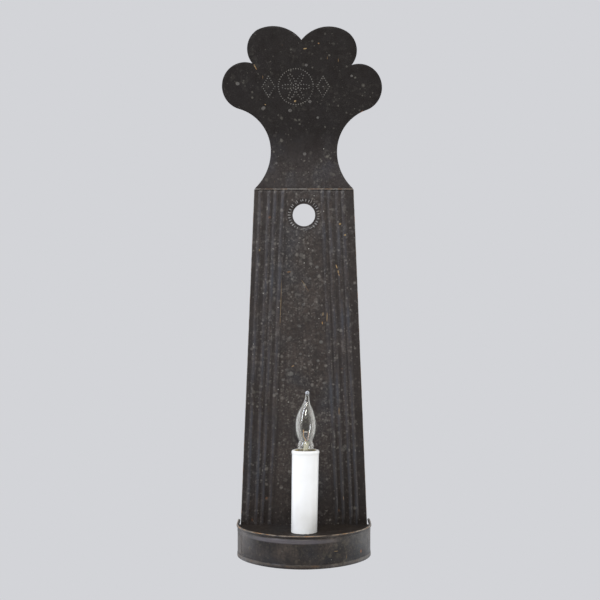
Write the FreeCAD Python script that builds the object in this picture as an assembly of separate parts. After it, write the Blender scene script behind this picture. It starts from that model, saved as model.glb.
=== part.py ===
"""Wall sconce of tinned sheet with one electric candle, in millimetres.

The origin is the centre of the hanging hole, on the back face of the back plate. +Z is up, +X is to
the right as one faces the sconce, and the front looks along -Y. The hems, the crest and the tray's
solder flanges stand one sheet behind the plate, and there they meet the wall.
"""
import FreeCAD
import Part
import math
import os

# The sheet that crest, plate and tray are cut from
sheet = 0.5
sheet_gap = 0.05
cut_overrun = 5.0

# How a rod's section goes round a sharp bend: as a mitre
mitred_bends = 1

# Back plate: tapered, fluted, with folded side hems and a rolled head
plate_top_z = 23.1
plate_height = 313.5
plate_top_width = 86.5
plate_bottom_width = 111.8
plate_corner_clip = 1.6
rib_count = 4
rib_first_offset = 7.1
rib_pitch = 6.4
rib_width = 4.4
rib_height = 1.0
hem_width = 3.5
hem_above_rim = 2.4
head_roll_radius = 0.85

# Hanging hole, in a ring that is dished towards the wall
hang_hole_radius = 9.75
dish_radius = 14.0
dish_flat = 1.15

# Crest: four round lobes on a throat, with a foot that flares out to the plate
crest_lap = 8.0
crest_lap_inset = 0.4
crest_foot_inset = 0.4
throat_half_width = 28.85
neck_radius = 37.0
lower_lobe_x = 49.0
lower_lobe_above_plate = 87.4
lower_lobe_radius = 20.0
upper_lobe_x = 28.5
upper_lobe_above_plate = 118.4
upper_lobe_radius = 18.6
centre_notch_above_plate = 126.5
lobe_shift = 1.7
right_lobe_drop = 1.4
crest_bend_above_plate = 14.4
crest_bend_radius = 184.0
crest_lean_degrees = 10.0

# Tray: half round in front, straight sides back to the wall, just clear of the plate's foot
tray_side_gap = 0.2
tray_height = 26.0
tray_arc_forward = 20.0
rim_wire_radius = 0.6
floor_below_rim = 4.35
bead_width = 2.6
bead_height = 0.4
floor_edge_in_bead = 0.25
floor_rear_flange = 5.0
flange_width = 10.0
flange_below_floor = 3.3
flange_above_bottom = 0.6
flange_corner = 3.0
seam_height = 3.5
seam_thickness = 0.8

# Candle cover
candle_x = 0.8
candle_forward = 37.5
cover_length = 68.2
cover_top_radius = 11.3
cover_bottom_radius = 10.9
cover_wall = 1.0
lip_radius = 11.7
lip_height = 3.0
lip_outer_round = 1.4
lip_chamfer = 0.8
cover_opening_radius = 8.7

# Small candelabra lamp with a flame tip
glass_height = 51.2
glass_radius = 8.3
glass_belly_height = 22.6
glass_belly_arc = 26.0
glass_foot_radius = 6.8
glass_foot_height = 5.1
glass_foot_arc = 8.8
glass_waist_arc = 2.2
glass_stalk_radius = 1.5
glass_flank_arc = 17.9
glass_wall = 0.5
glass_neck_radius = 5.3
glass_neck_in_cap = 4.5
tip_ball_radius = 1.6
cap_below_cover_top = 1.0
cap_radius = 5.85
cap_wall = 0.3
cap_height = 14.0
cap_insulator_height = 2.5
cap_insulator_tip_radius = 3.4
cap_contact_radius = 2.2
cap_contact_height = 1.2
stem_radius = 2.1
stem_bore_radius = 1.3
stem_height = 6.4
press_height = 2.8
press_thickness = 1.8
support_radius = 0.25
support_spacing = 1.6
support_height = 6.6
support_reach = 1.8
support_rise = 1.6
filament_radius = 0.2
filament_arch = 1.5
filament_shoulder_share = 0.25

# Lamp socket inside the cover
socket_gap_below_lip = 0.3
socket_body_radius = 8.75
socket_body_length = 25.2
socket_floor = 7.0
shell_clearance = 0.2
shell_wall = 0.35
shell_length = 12.0
shell_top_drop = 1.2
shell_flange = 1.5
contact_strip_width = 4.0
contact_strip_length = 9.0
contact_strip_thickness = 0.4
rivet_radius = 1.5
rivet_head_radius = 2.4
rivet_head_height = 1.0
sleeve_clearance = 0.1
sleeve_wall = 0.4
sleeve_length = 57.5
sleeve_top_drop = 0.7

# Bracket, threaded nipple and their fastening through the tray floor
bracket_metal = 1.2
bracket_base_radius = 7.5
bracket_strap_width = 6.0
bracket_strap_out = 8.2
bracket_tab_width = 5.0
bracket_tab_front = 3.0
nipple_radius = 5.15
nipple_bore_radius = 3.4
nipple_below_floor = 8.3
thread_clearance = 0.05
floor_hole_clearance = 0.15
washer_radius = 7.6
washer_thickness = 0.8
locknut_across_flats = 14.3
locknut_thickness = 3.0

# Leads and their wire nuts in the box below the tray floor
lead_radius = 1.1
lead_exit_x = 4.6
lead_depth_in_socket = 4.0
lead_straight = 11.0
lead_gather = 16.0
lead_bore_x = 1.45
lead_run_z = 15.35
lead_run_x = 20.0
lead_bend_radius = 6.6
lead_gentle_radius = 60.0
nut_start_x = 12.0
nut_length = 18.0
nut_mouth_radius = 5.2
nut_end_radius = 3.9
nut_bore_radius = 2.4
nut_bore_depth = 13.0

# Wire entry in the plate, below the tray floor
entry_below_floor = 11.15
bushing_radius = 4.75
bushing_clearance = 0.05
bushing_bore_radius = 3.2
bushing_flange_radius = 6.2
bushing_flange = 1.5

# Heights and places that follow from the sizes above
plate_bottom_z = plate_top_z - plate_height
lower_lobe_z = plate_top_z + lower_lobe_above_plate
upper_lobe_z = plate_top_z + upper_lobe_above_plate
centre_notch_z = plate_top_z + centre_notch_above_plate
crest_bend_start_z = plate_top_z + crest_bend_above_plate
plate_front_y = -sheet
wall_y = sheet
rib_front_y = -sheet - rib_height
fluted_band = rib_first_offset + (rib_count - 1) * rib_pitch + rib_width
tray_arc_y = -tray_arc_forward
tray_inner = plate_bottom_width / 2 + tray_side_gap
tray_radius = tray_inner + sheet
rim_z = plate_bottom_z + tray_height
rim_roll_radius = rim_wire_radius + sheet_gap + sheet
floor_top_z = rim_z - floor_below_rim
floor_bottom_z = floor_top_z - sheet
floor_rear_y = rib_front_y - 2 * sheet_gap
candle_y = -candle_forward
cover_top_z = floor_top_z + cover_length
cap_top_z = cover_top_z - cap_below_cover_top
cap_bottom_z = cap_top_z - cap_height
cap_insulator_z = cap_bottom_z - cap_insulator_height
cap_contact_z = cap_insulator_z - cap_contact_height
glass_belly_z = cap_top_z + glass_belly_height
glass_flank_z = glass_belly_z + math.sqrt(
    (glass_belly_arc + glass_flank_arc) ** 2
    - (glass_stalk_radius + glass_flank_arc - glass_radius + glass_belly_arc) ** 2
)
tip_ball_z = cap_top_z + glass_height - tip_ball_radius
press_z = cap_top_z + stem_height
support_top_z = press_z + press_height + support_height
socket_top_z = cover_top_z - lip_height - socket_gap_below_lip
socket_bottom_z = socket_top_z - socket_body_length
shell_inner = cap_radius + shell_clearance
shell_outer = shell_inner + shell_wall
contact_strip_z = cap_contact_z - contact_strip_thickness
bracket_top_z = floor_top_z + bracket_metal
washer_bottom_z = floor_bottom_z - washer_thickness
locknut_bottom_z = washer_bottom_z - locknut_thickness
lead_run_level = floor_bottom_z - lead_run_z
entry_z = floor_bottom_z - entry_below_floor


def vec(x, y, z):
    """Gives a point or a direction."""
    return FreeCAD.Vector(x, y, z)


def block(x0, x1, y0, y1, z0, z1):
    """Makes a box between two corners."""
    return Part.makeBox(x1 - x0, y1 - y0, z1 - z0, vec(x0, y0, z0))


def line(a, b):
    """Makes a straight edge."""
    return Part.LineSegment(a, b).toShape()


def arc(a, b, c):
    """Makes the arc from a through b to c."""
    return Part.Arc(a, b, c).toShape()


def face_of(edges):
    """Closes edges into a flat face."""
    return Part.Face(Part.Wire(edges))


def polygon_face(points):
    """Makes a flat face with straight sides."""
    return Part.Face(Part.makePolygon(points + points[:1]))


def mirrored(shape):
    """Gives the shape's mirror image on the other side of the middle plane."""
    return shape.mirror(vec(0, 0, 0), vec(1, 0, 0))


def turned(face, x, y):
    """Turns a face, drawn to the right of an upright axis, once round that axis."""
    return face.revolve(vec(x, y, 0), vec(0, 0, 1), 360)


def on_candle(points):
    """Turns a section of (radius, z) points round the candle's axis."""
    section = [vec(candle_x + r, candle_y, z) for r, z in points]
    return turned(polygon_face(section), candle_x, candle_y)


def candle_tube(outer, inner, z0, z1):
    """Makes an upright tube on the candle's axis."""
    return on_candle([(inner, z0), (outer, z0), (outer, z1), (inner, z1)])


def candle_rod(radius, z0, z1):
    """Makes an upright round bar on the candle's axis."""
    return Part.makeCylinder(radius, z1 - z0, vec(candle_x, candle_y, z0))


def half_width_at(z):
    """Gives half the plate's width at a height."""
    gain = (plate_bottom_width - plate_top_width) / 2
    return plate_top_width / 2 + gain * (plate_top_z - z) / plate_height


def plate_slant():
    """Gives the angle by which each side of the plate leans towards the middle."""
    return math.atan((plate_bottom_width - plate_top_width) / 2 / plate_height)


def rib_arc(number, level, radius):
    """Gives the start, crest and end of one rib's arc, which rises from a level of the sheet."""
    centre = rib_first_offset + number * rib_pitch
    half = math.sqrt(radius ** 2 - (radius - rib_height) ** 2)
    return (
        vec(centre - half, level, 0),
        vec(centre, level - rib_height, 0),
        vec(centre + half, level, 0),
    )


def fluted_section():
    """Draws the section across one side: the edge at x = 0, the folded hem, then the ribs."""
    front_radius = (rib_width ** 2 / 4 + rib_height ** 2) / (2 * rib_height)
    back_radius = front_radius - sheet
    inner = fluted_band
    start = vec(sheet, plate_front_y, 0)
    edges = []
    here = start
    for number in range(rib_count):
        a, crest, b = rib_arc(number, plate_front_y, front_radius)
        edges.append(line(here, a))
        edges.append(arc(a, crest, b))
        here = b
    edges.append(line(here, vec(inner, plate_front_y, 0)))
    edges.append(line(vec(inner, plate_front_y, 0), vec(inner, 0, 0)))
    here = vec(inner, 0, 0)
    for number in reversed(range(rib_count)):
        a, crest, b = rib_arc(number, 0, back_radius)
        edges.append(line(here, b))
        edges.append(arc(b, crest, a))
        here = a
    edges.append(line(here, vec(hem_width, 0, 0)))
    edges.append(line(vec(hem_width, 0, 0), vec(hem_width, wall_y, 0)))
    edges.append(line(vec(hem_width, wall_y, 0), vec(sheet, wall_y, 0)))
    edges.append(arc(vec(sheet, wall_y, 0), vec(0, 0, 0), start))
    return face_of(edges)


def fluted_side():
    """Makes the left side of the plate, its hem and ribs parallel to the slanting edge."""
    left = -plate_bottom_width / 2
    top_z = plate_top_z - head_roll_radius
    side = fluted_section().extrude(vec(0, 0, plate_height + 2 * cut_overrun))
    side.translate(vec(0, 0, -cut_overrun))
    side.rotate(vec(0, 0, 0), vec(0, 1, 0), math.degrees(plate_slant()))
    side.translate(vec(left, 0, plate_bottom_z))
    deep = rib_height + cut_overrun
    side = side.common(block(left - cut_overrun, 0, -deep, deep, plate_bottom_z, top_z))
    hem_end = rim_z + hem_above_rim
    return side.cut(block(left - cut_overrun, 0, 0, deep, plate_bottom_z - cut_overrun, hem_end))


def dished_ring():
    """Makes the pressed ring round the hanging hole, turned about the hole's axis."""
    inner = hang_hole_radius
    flat = hang_hole_radius + dish_flat
    section = [
        vec(dish_radius, plate_front_y, 0),
        vec(dish_radius, 0, 0),
        vec(flat, wall_y, 0),
        vec(inner, wall_y, 0),
        vec(inner, 0, 0),
        vec(flat, 0, 0),
    ]
    return polygon_face(section).revolve(vec(0, 0, 0), vec(0, 1, 0), 360)


def back_plate():
    """Makes the plate: two fluted sides, the flat middle, the rolled head and the dished ring."""
    side = fluted_side()
    top_z = plate_top_z - head_roll_radius
    band = fluted_band / math.cos(plate_slant())
    low = half_width_at(plate_bottom_z) - band
    high = half_width_at(top_z) - band
    middle = polygon_face([
        vec(-low, 0, plate_bottom_z),
        vec(low, 0, plate_bottom_z),
        vec(high, 0, top_z),
        vec(-high, 0, top_z),
    ]).extrude(vec(0, -sheet, 0))
    half = half_width_at(plate_top_z)
    roll = Part.makeCylinder(
        head_roll_radius, 2 * half, vec(-half, -head_roll_radius, top_z), vec(1, 0, 0)
    )
    plate = side.fuse([middle, mirrored(side), roll]).removeSplitter()
    deep = 2 * head_roll_radius + cut_overrun
    for sign in (-1, 1):
        corner = polygon_face([
            vec(sign * (half - plate_corner_clip), -deep, plate_top_z),
            vec(sign * (half + cut_overrun), -deep, plate_top_z),
            vec(sign * (half + cut_overrun), -deep, plate_top_z - plate_corner_clip - cut_overrun),
            vec(sign * half, -deep, plate_top_z - plate_corner_clip),
        ])
        plate = plate.cut(corner.extrude(vec(0, 2 * deep, 0)))
    opening = Part.makeCylinder(dish_radius, 2 * deep, vec(0, -deep, 0), vec(0, 1, 0))
    plate = plate.cut(opening).fuse(dished_ring()).removeSplitter()
    entry = Part.makeCylinder(
        bushing_radius + bushing_clearance, 2 * deep, vec(0, -deep, entry_z), vec(0, 1, 0)
    )
    return plate.cut(entry)


def on_circle(x, z, radius, toward_x, toward_z):
    """Gives the point of a circle in the direction of another point."""
    reach = math.hypot(toward_x - x, toward_z - z)
    return x + radius * (toward_x - x) / reach, z + radius * (toward_z - z) / reach


def crest_side(sign):
    """Gives the edges of half the crest's outline, from the foot up to the centre notch."""
    lobe_x = sign * lower_lobe_x - lobe_shift
    lobe_z = lower_lobe_z - (right_lobe_drop if sign > 0 else 0)
    top_x = sign * upper_lobe_x - lobe_shift
    top_z = upper_lobe_z - (right_lobe_drop if sign > 0 else 0)
    neck_x = sign * (throat_half_width + neck_radius)
    neck_z = lobe_z - math.sqrt((neck_radius + lower_lobe_radius) ** 2 - (neck_x - lobe_x) ** 2)
    foot_drop = neck_z - plate_top_z
    foot_end_x = sign * (plate_top_width / 2 - crest_foot_inset)
    foot_flare = abs(foot_end_x) - throat_half_width
    foot_radius = (foot_flare ** 2 + foot_drop ** 2) / (2 * foot_flare)
    foot_x = sign * (throat_half_width + foot_radius)
    foot_mid = on_circle(
        foot_x, neck_z, foot_radius,
        (foot_end_x + sign * throat_half_width) / 2, (plate_top_z + neck_z) / 2,
    )
    join = on_circle(neck_x, neck_z, neck_radius, lobe_x, lobe_z)
    neck_mid = on_circle(
        neck_x, neck_z, neck_radius,
        (join[0] + sign * throat_half_width) / 2, (join[1] + neck_z) / 2,
    )
    gap = math.hypot(top_x - lobe_x, top_z - lobe_z)
    along = (lower_lobe_radius ** 2 - upper_lobe_radius ** 2 + gap ** 2) / (2 * gap)
    out = math.sqrt(lower_lobe_radius ** 2 - along ** 2)
    unit_x = (top_x - lobe_x) / gap
    unit_z = (top_z - lobe_z) / gap
    notch_x = lobe_x + along * unit_x + sign * out * unit_z
    notch_z = lobe_z + along * unit_z - sign * out * unit_x
    crown_z = top_z + upper_lobe_radius
    notch_reach = abs(top_x + lobe_shift)
    crown_drop = crown_z - centre_notch_z
    crown_radius = (notch_reach ** 2 + crown_drop ** 2) / (2 * crown_drop)
    crown_mid = on_circle(
        top_x, crown_z - crown_radius, crown_radius,
        (top_x - lobe_shift) / 2, (crown_z + centre_notch_z) / 2,
    )
    points = [
        ((foot_end_x, plate_top_z), foot_mid, (sign * throat_half_width, neck_z)),
        ((sign * throat_half_width, neck_z), neck_mid, join),
        (join, (lobe_x + sign * lower_lobe_radius, lobe_z), (notch_x, notch_z)),
        ((notch_x, notch_z), (top_x + sign * upper_lobe_radius, top_z), (top_x, crown_z)),
        ((top_x, crown_z), crown_mid, (-lobe_shift, centre_notch_z)),
    ]
    return [arc(*[vec(x, 0, z) for x, z in three]) for three in points]


def crest_outline():
    """Closes both halves of the crest over a lap that goes down behind the plate."""
    left = crest_side(-1)
    right = crest_side(1)
    lap_half = half_width_at(plate_top_z) - hem_width - crest_lap_inset
    lap_z = plate_top_z - crest_lap
    foot_left = left[0].Vertexes[0].Point
    foot_right = right[0].Vertexes[0].Point
    lap = [
        foot_left,
        vec(-lap_half, 0, plate_top_z),
        vec(-lap_half, 0, lap_z),
        vec(lap_half, 0, lap_z),
        vec(lap_half, 0, plate_top_z),
        foot_right,
    ]
    edges = left + right + [line(a, b) for a, b in zip(lap, lap[1:])]
    return Part.Face(Part.Wire(Part.__sortEdges__(edges)))


def crest_plate():
    """Cuts the crest's outline from a sheet that stands upright and then leans forward."""
    lean = math.radians(crest_lean_degrees)
    front = crest_bend_radius
    back = crest_bend_radius + sheet
    leaning = upper_lobe_z

    def on_bend(radius, angle):
        height = crest_bend_start_z + radius * math.sin(angle)
        return vec(0, radius * math.cos(angle) - front, height)

    def up_lean(point):
        return point + vec(0, -leaning * math.sin(lean), leaning * math.cos(lean))

    low_z = plate_top_z - crest_lap - cut_overrun
    front_low = vec(0, 0, low_z)
    back_low = vec(0, sheet, low_z)
    front_top = up_lean(on_bend(front, lean))
    back_top = up_lean(on_bend(back, lean))
    section = face_of([
        line(front_low, on_bend(front, 0)),
        arc(on_bend(front, 0), on_bend(front, lean / 2), on_bend(front, lean)),
        line(on_bend(front, lean), front_top),
        line(front_top, back_top),
        line(back_top, on_bend(back, lean)),
        arc(on_bend(back, lean), on_bend(back, lean / 2), on_bend(back, 0)),
        line(on_bend(back, 0), back_low),
        line(back_low, front_low),
    ])
    wide = lower_lobe_x + lower_lobe_radius + cut_overrun
    section.translate(vec(-wide, 0, 0))
    bent = section.extrude(vec(2 * wide, 0, 0))
    outline = crest_outline()
    outline.translate(vec(0, wide, 0))
    return bent.common(outline.extrude(vec(0, -2 * wide, 0)))


def round_tray(face):
    """Carries a section, drawn at the right end of the half circle, along both sides and round."""
    front = face.revolve(vec(0, tray_arc_y, 0), vec(0, 0, 1), -180)
    side = face.extrude(vec(0, wall_y - tray_arc_y, 0))
    return front.fuse([side, mirrored(side)]).removeSplitter()


def tray_section_point(radius, z):
    """Gives a point of the tray's section."""
    return vec(radius, tray_arc_y, z)


def tray_shape(radius, z0, z1, rear_y):
    """Makes a flat plate with the tray's half round front."""
    right = vec(radius, tray_arc_y, z0)
    left = vec(-radius, tray_arc_y, z0)
    rear_right = vec(radius, rear_y, z0)
    rear_left = vec(-radius, rear_y, z0)
    outline = face_of([
        arc(right, vec(0, tray_arc_y - radius, z0), left),
        line(left, rear_left),
        line(rear_left, rear_right),
        line(rear_right, right),
    ])
    return outline.extrude(vec(0, 0, z1 - z0))


def band_wall():
    """Makes the section of the band's wall, with the swaged bead that takes the tray floor."""
    at = tray_section_point
    top = rim_z - rim_roll_radius
    bead_z = (floor_top_z + floor_bottom_z) / 2
    half = bead_width / 2
    return face_of([
        line(at(tray_radius, top), at(tray_radius, bead_z + half)),
        arc(
            at(tray_radius, bead_z + half),
            at(tray_radius + bead_height, bead_z),
            at(tray_radius, bead_z - half),
        ),
        line(at(tray_radius, bead_z - half), at(tray_radius, plate_bottom_z)),
        line(at(tray_radius, plate_bottom_z), at(tray_inner, plate_bottom_z)),
        line(at(tray_inner, plate_bottom_z), at(tray_inner, bead_z - half)),
        arc(
            at(tray_inner, bead_z - half),
            at(tray_inner + bead_height, bead_z),
            at(tray_inner, bead_z + half),
        ),
        line(at(tray_inner, bead_z + half), at(tray_inner, top)),
        line(at(tray_inner, top), at(tray_radius, top)),
    ])


def rim_disc(radius):
    """Makes a disc of the rim's section, centred on its wire."""
    centre = tray_section_point(tray_radius - sheet / 2, rim_z - rim_roll_radius)
    return Part.Face(Part.Wire(Part.makeCircle(radius, centre, vec(0, 1, 0))))


def tray_band():
    """Makes the band: rolled rim, beaded wall, and flanges that turn in behind the plate."""
    section = band_wall().fuse(rim_disc(rim_roll_radius)).removeSplitter()
    hollow = round_tray(rim_disc(rim_wire_radius + sheet_gap))
    band = None
    for face in section.Faces:
        swept = round_tray(face)
        band = swept if band is None else band.fuse(swept)
    top = floor_bottom_z - flange_below_floor
    bottom = plate_bottom_z + flange_above_bottom
    inner = tray_inner - flange_width
    flange = polygon_face([
        vec(tray_inner, 0, bottom),
        vec(tray_inner, 0, top),
        vec(inner + flange_corner, 0, top),
        vec(inner, 0, top - flange_corner),
        vec(inner, 0, bottom + flange_corner),
        vec(inner + flange_corner, 0, bottom),
    ]).extrude(vec(0, sheet, 0))
    return band.fuse([flange, mirrored(flange)]).cut(hollow).removeSplitter()


def rim_wire():
    """Makes the wire that the rim is rolled round."""
    return round_tray(rim_disc(rim_wire_radius))


def tray_floor():
    """Makes the drip floor, its edge in the bead, with a flange down at the rear."""
    floor = tray_shape(tray_inner + floor_edge_in_bead, floor_bottom_z, floor_top_z, floor_rear_y)
    side = tray_inner - 2 * sheet
    flange = block(
        -side, side, floor_rear_y - sheet, floor_rear_y, floor_top_z - floor_rear_flange, floor_top_z
    )
    hole = candle_rod(
        nipple_radius + floor_hole_clearance, floor_bottom_z - cut_overrun, floor_top_z + cut_overrun
    )
    return floor.fuse(flange).cut(hole).removeSplitter()


def tray_bottom():
    """Makes the bottom, turned up and folded round the foot of the band."""
    base = plate_bottom_z
    at = tray_section_point
    inner = tray_radius + sheet_gap
    outer = inner + seam_thickness
    collar = round_tray(polygon_face([
        at(inner, base - sheet),
        at(outer, base - sheet),
        at(outer, base - sheet + seam_height),
        at(inner, base - sheet + seam_height),
    ]))
    return tray_shape(inner, base - sheet, base, wall_y).fuse(collar).removeSplitter()


def candle_cover():
    """Makes the tapered candle sleeve with its thick rounded lip."""
    def at(radius, z):
        return vec(candle_x + radius, candle_y, z)

    top = cover_top_z
    under = top - lip_height
    bore = cover_bottom_radius - cover_wall
    off_corner = lip_outer_round * (1 - math.sqrt(0.5))
    section = face_of([
        line(at(cover_bottom_radius, floor_top_z), at(cover_top_radius, under)),
        line(at(cover_top_radius, under), at(lip_radius, under)),
        line(at(lip_radius, under), at(lip_radius, top - lip_outer_round)),
        arc(
            at(lip_radius, top - lip_outer_round),
            at(lip_radius - off_corner, top - off_corner),
            at(lip_radius - lip_outer_round, top),
        ),
        line(at(lip_radius - lip_outer_round, top), at(cover_opening_radius + lip_chamfer, top)),
        line(at(cover_opening_radius + lip_chamfer, top), at(cover_opening_radius, top - lip_chamfer)),
        line(at(cover_opening_radius, top - lip_chamfer), at(cover_opening_radius, under)),
        line(at(cover_opening_radius, under), at(bore, under)),
        line(at(bore, under), at(bore, floor_top_z)),
        line(at(bore, floor_top_z), at(cover_bottom_radius, floor_top_z)),
    ])
    return turned(section, candle_x, candle_y)


def between_circles(first, second, radius):
    """Gives the circle of a radius that touches two others from outside, right of their line."""
    gap = math.hypot(second[0] - first[0], second[1] - first[1])
    reach_first = first[2] + radius
    reach_second = second[2] + radius
    along = (reach_first ** 2 - reach_second ** 2 + gap ** 2) / (2 * gap)
    out = math.sqrt(reach_first ** 2 - along ** 2)
    unit_x = (second[0] - first[0]) / gap
    unit_z = (second[1] - first[1]) / gap
    x = first[0] + along * unit_x + out * unit_z
    z = first[1] + along * unit_z - out * unit_x
    return x, z, radius


def arc_on(circle, a, b):
    """Makes the arc of a circle between two of its points."""
    middle = on_circle(*circle, (a[0] + b[0]) / 2, (a[1] + b[1]) / 2)
    return arc(*[vec(candle_x + x, candle_y, z) for x, z in (a, middle, b)])


def glass_solid(inset, top_z):
    """Turns the flame shape, drawn in by inset: neck, foot, waist, belly, flank and stalk."""
    foot = (
        glass_foot_radius - glass_foot_arc, cap_top_z + glass_foot_height, glass_foot_arc - inset
    )
    belly = (glass_radius - glass_belly_arc, glass_belly_z, glass_belly_arc - inset)
    flank = (glass_stalk_radius + glass_flank_arc, glass_flank_z, glass_flank_arc + inset)
    waist = between_circles(foot, belly, glass_waist_arc + inset)
    neck = glass_neck_radius - inset
    stalk = glass_stalk_radius - inset
    low = cap_top_z - glass_neck_in_cap
    neck_top = (neck, foot[1] - math.sqrt(foot[2] ** 2 - (neck - foot[0]) ** 2))
    foot_end = on_circle(*foot, *waist[:2])
    belly_start = on_circle(*belly, *waist[:2])
    belly_end = on_circle(*belly, *flank[:2])

    def at(x, z):
        return vec(candle_x + x, candle_y, z)

    section = face_of([
        line(at(0, low), at(neck, low)),
        line(at(neck, low), at(*neck_top)),
        arc_on(foot, neck_top, foot_end),
        arc_on(waist, foot_end, belly_start),
        arc_on(belly, belly_start, belly_end),
        arc_on(flank, belly_end, (stalk, glass_flank_z)),
        line(at(stalk, glass_flank_z), at(stalk, top_z)),
        line(at(stalk, top_z), at(0, top_z)),
        line(at(0, top_z), at(0, low)),
    ])
    return turned(section, candle_x, candle_y)


def bulb_glass():
    """Makes the hollow glass, drawn out to a tip that ends in a small ball."""
    ball = Part.makeSphere(tip_ball_radius, vec(candle_x, candle_y, tip_ball_z))
    outer = glass_solid(0, tip_ball_z).fuse(ball)
    hollow = glass_solid(glass_wall, glass_flank_z + glass_wall)
    return outer.cut(hollow).removeSplitter()


def bulb_cap():
    """Makes the lamp's screw cap as a plain cup that is open at the bottom."""
    return candle_tube(cap_radius, cap_radius - cap_wall, cap_bottom_z, cap_top_z)


def cap_insulator():
    """Makes the black glass cone between the cap and its contact."""
    return on_candle([
        (0, cap_insulator_z),
        (cap_insulator_tip_radius, cap_insulator_z),
        (cap_radius, cap_bottom_z),
        (0, cap_bottom_z),
    ])


def cap_contact():
    """Makes the round contact at the end of the cap."""
    return candle_rod(cap_contact_radius, cap_contact_z, cap_insulator_z)


def bulb_stem():
    """Makes the glass stem: a tube from the neck, pressed flat round the lead-in wires."""
    foot = cap_top_z - glass_neck_in_cap
    flare = candle_tube(glass_neck_radius - glass_wall, stem_bore_radius, foot, foot + glass_wall)
    tube = candle_tube(stem_radius, stem_bore_radius, foot, press_z)
    press = block(
        candle_x - stem_radius, candle_x + stem_radius,
        candle_y - press_thickness / 2, candle_y + press_thickness / 2,
        press_z, press_z + press_height,
    )
    return tube.fuse([flare, press]).removeSplitter()


def support_top(sign):
    """Gives the end of a support wire, where it grips the filament."""
    reach = support_spacing / 2 + support_reach
    return vec(candle_x + sign * reach, candle_y, support_top_z)


def bent_rod(points, radius):
    """Makes a thin round rod with sharp bends along the points."""
    path = Part.makePolygon(points)
    ring = Part.Wire(Part.makeCircle(radius, points[0], points[1] - points[0]))
    return path.makePipeShell([ring], True, False, mitred_bends)


def support_wires():
    """Makes the two wires that stand on the press and spread to hold the filament."""
    wires = []
    for sign in (-1, 1):
        foot = vec(candle_x + sign * support_spacing / 2, candle_y, press_z + press_height)
        bend = vec(foot.x, candle_y, support_top_z - support_rise)
        wires.append(bent_rod([foot, bend, support_top(sign)], support_radius))
    return Part.makeCompound(wires)


def filament():
    """Makes the filament as one thin bridge, raised in the middle, between the support wires."""
    clear = vec(support_radius + filament_radius, 0, 0)
    left = support_top(-1) + clear
    right = support_top(1) - clear
    rise = vec(0, 0, filament_arch)
    inward = (right - left) * filament_shoulder_share
    return bent_rod([left, left + inward + rise, right - inward + rise, right], filament_radius)


def socket_screw_shell():
    """Makes the brass shell that the lamp screws into."""
    top = socket_top_z - shell_top_drop
    bottom = top - shell_length
    return on_candle([
        (shell_outer - shell_flange, bottom),
        (shell_outer, bottom),
        (shell_outer, top),
        (shell_inner, top),
        (shell_inner, bottom + shell_wall),
        (shell_outer - shell_flange, bottom + shell_wall),
    ])


def socket_body():
    """Makes the moulded socket body: a deep cup with holes for the rivet and the leads."""
    cup_floor = socket_bottom_z + socket_floor
    body = candle_rod(socket_body_radius, socket_bottom_z, socket_top_z)
    cup = candle_rod(shell_outer + sheet_gap, cup_floor, socket_top_z + cut_overrun)
    pin = candle_rod(rivet_radius + thread_clearance, socket_bottom_z - cut_overrun, cup_floor + cut_overrun)
    leads = [
        Part.makeCylinder(
            lead_radius + sheet_gap, lead_depth_in_socket + cut_overrun,
            vec(candle_x + sign * lead_exit_x, candle_y, socket_bottom_z - cut_overrun),
        )
        for sign in (-1, 1)
    ]
    return body.cut([cup, pin] + leads)


def socket_center_contact():
    """Makes the bent strip that touches the lamp's contact and is riveted to the cup's floor."""
    cup_floor = socket_bottom_z + socket_floor
    half = contact_strip_width / 2
    reach = contact_strip_length / 2
    thick = contact_strip_thickness
    low = block(
        candle_x - half, candle_x + half, candle_y - reach, candle_y + reach,
        cup_floor, cup_floor + thick,
    )
    riser = block(
        candle_x - half, candle_x + half, candle_y + reach - thick, candle_y + reach,
        cup_floor, cap_contact_z,
    )
    tongue = block(
        candle_x - half, candle_x + half, candle_y - half, candle_y + reach,
        contact_strip_z, cap_contact_z,
    )
    hole = candle_rod(rivet_radius + thread_clearance, cup_floor - cut_overrun, cup_floor + thick)
    return low.fuse([riser, tongue]).cut(hole).removeSplitter()


def socket_rivet():
    """Makes the rivet that clamps bracket, socket body and contact strip."""
    low = socket_bottom_z - bracket_metal
    high = socket_bottom_z + socket_floor + contact_strip_thickness
    return candle_rod(rivet_radius, low, high).fuse([
        candle_rod(rivet_head_radius, low - rivet_head_height, low),
        candle_rod(rivet_head_radius, high, high + rivet_head_height),
    ]).removeSplitter()


def insulating_sleeve():
    """Makes the card tube round the socket body."""
    inner = socket_body_radius + sleeve_clearance
    top = socket_top_z - sleeve_top_drop
    return candle_tube(inner + sleeve_wall, inner, top - sleeve_length, top)


def socket_bracket():
    """Makes the bracket: base on the tray floor, strap up the rear, tab under the socket."""
    base = candle_rod(bracket_base_radius, floor_top_z, bracket_top_z)
    strap = block(
        candle_x - bracket_strap_width / 2, candle_x + bracket_strap_width / 2,
        candle_y + bracket_strap_out - bracket_metal, candle_y + bracket_strap_out,
        floor_top_z, socket_bottom_z,
    )
    tab = block(
        candle_x - bracket_tab_width / 2, candle_x + bracket_tab_width / 2,
        candle_y - bracket_tab_front, candle_y + bracket_strap_out,
        socket_bottom_z - bracket_metal, socket_bottom_z,
    )
    nipple_hole = candle_rod(nipple_radius + thread_clearance, floor_top_z - cut_overrun, bracket_top_z)
    rivet_hole = candle_rod(
        rivet_radius + thread_clearance, socket_bottom_z - bracket_metal, socket_bottom_z
    )
    return base.fuse([strap, tab]).cut([nipple_hole, rivet_hole]).removeSplitter()


def threaded_nipple():
    """Makes the nipple that clamps the bracket to the tray floor and lets the leads through."""
    return candle_tube(
        nipple_radius, nipple_bore_radius, floor_bottom_z - nipple_below_floor, bracket_top_z
    )


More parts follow.
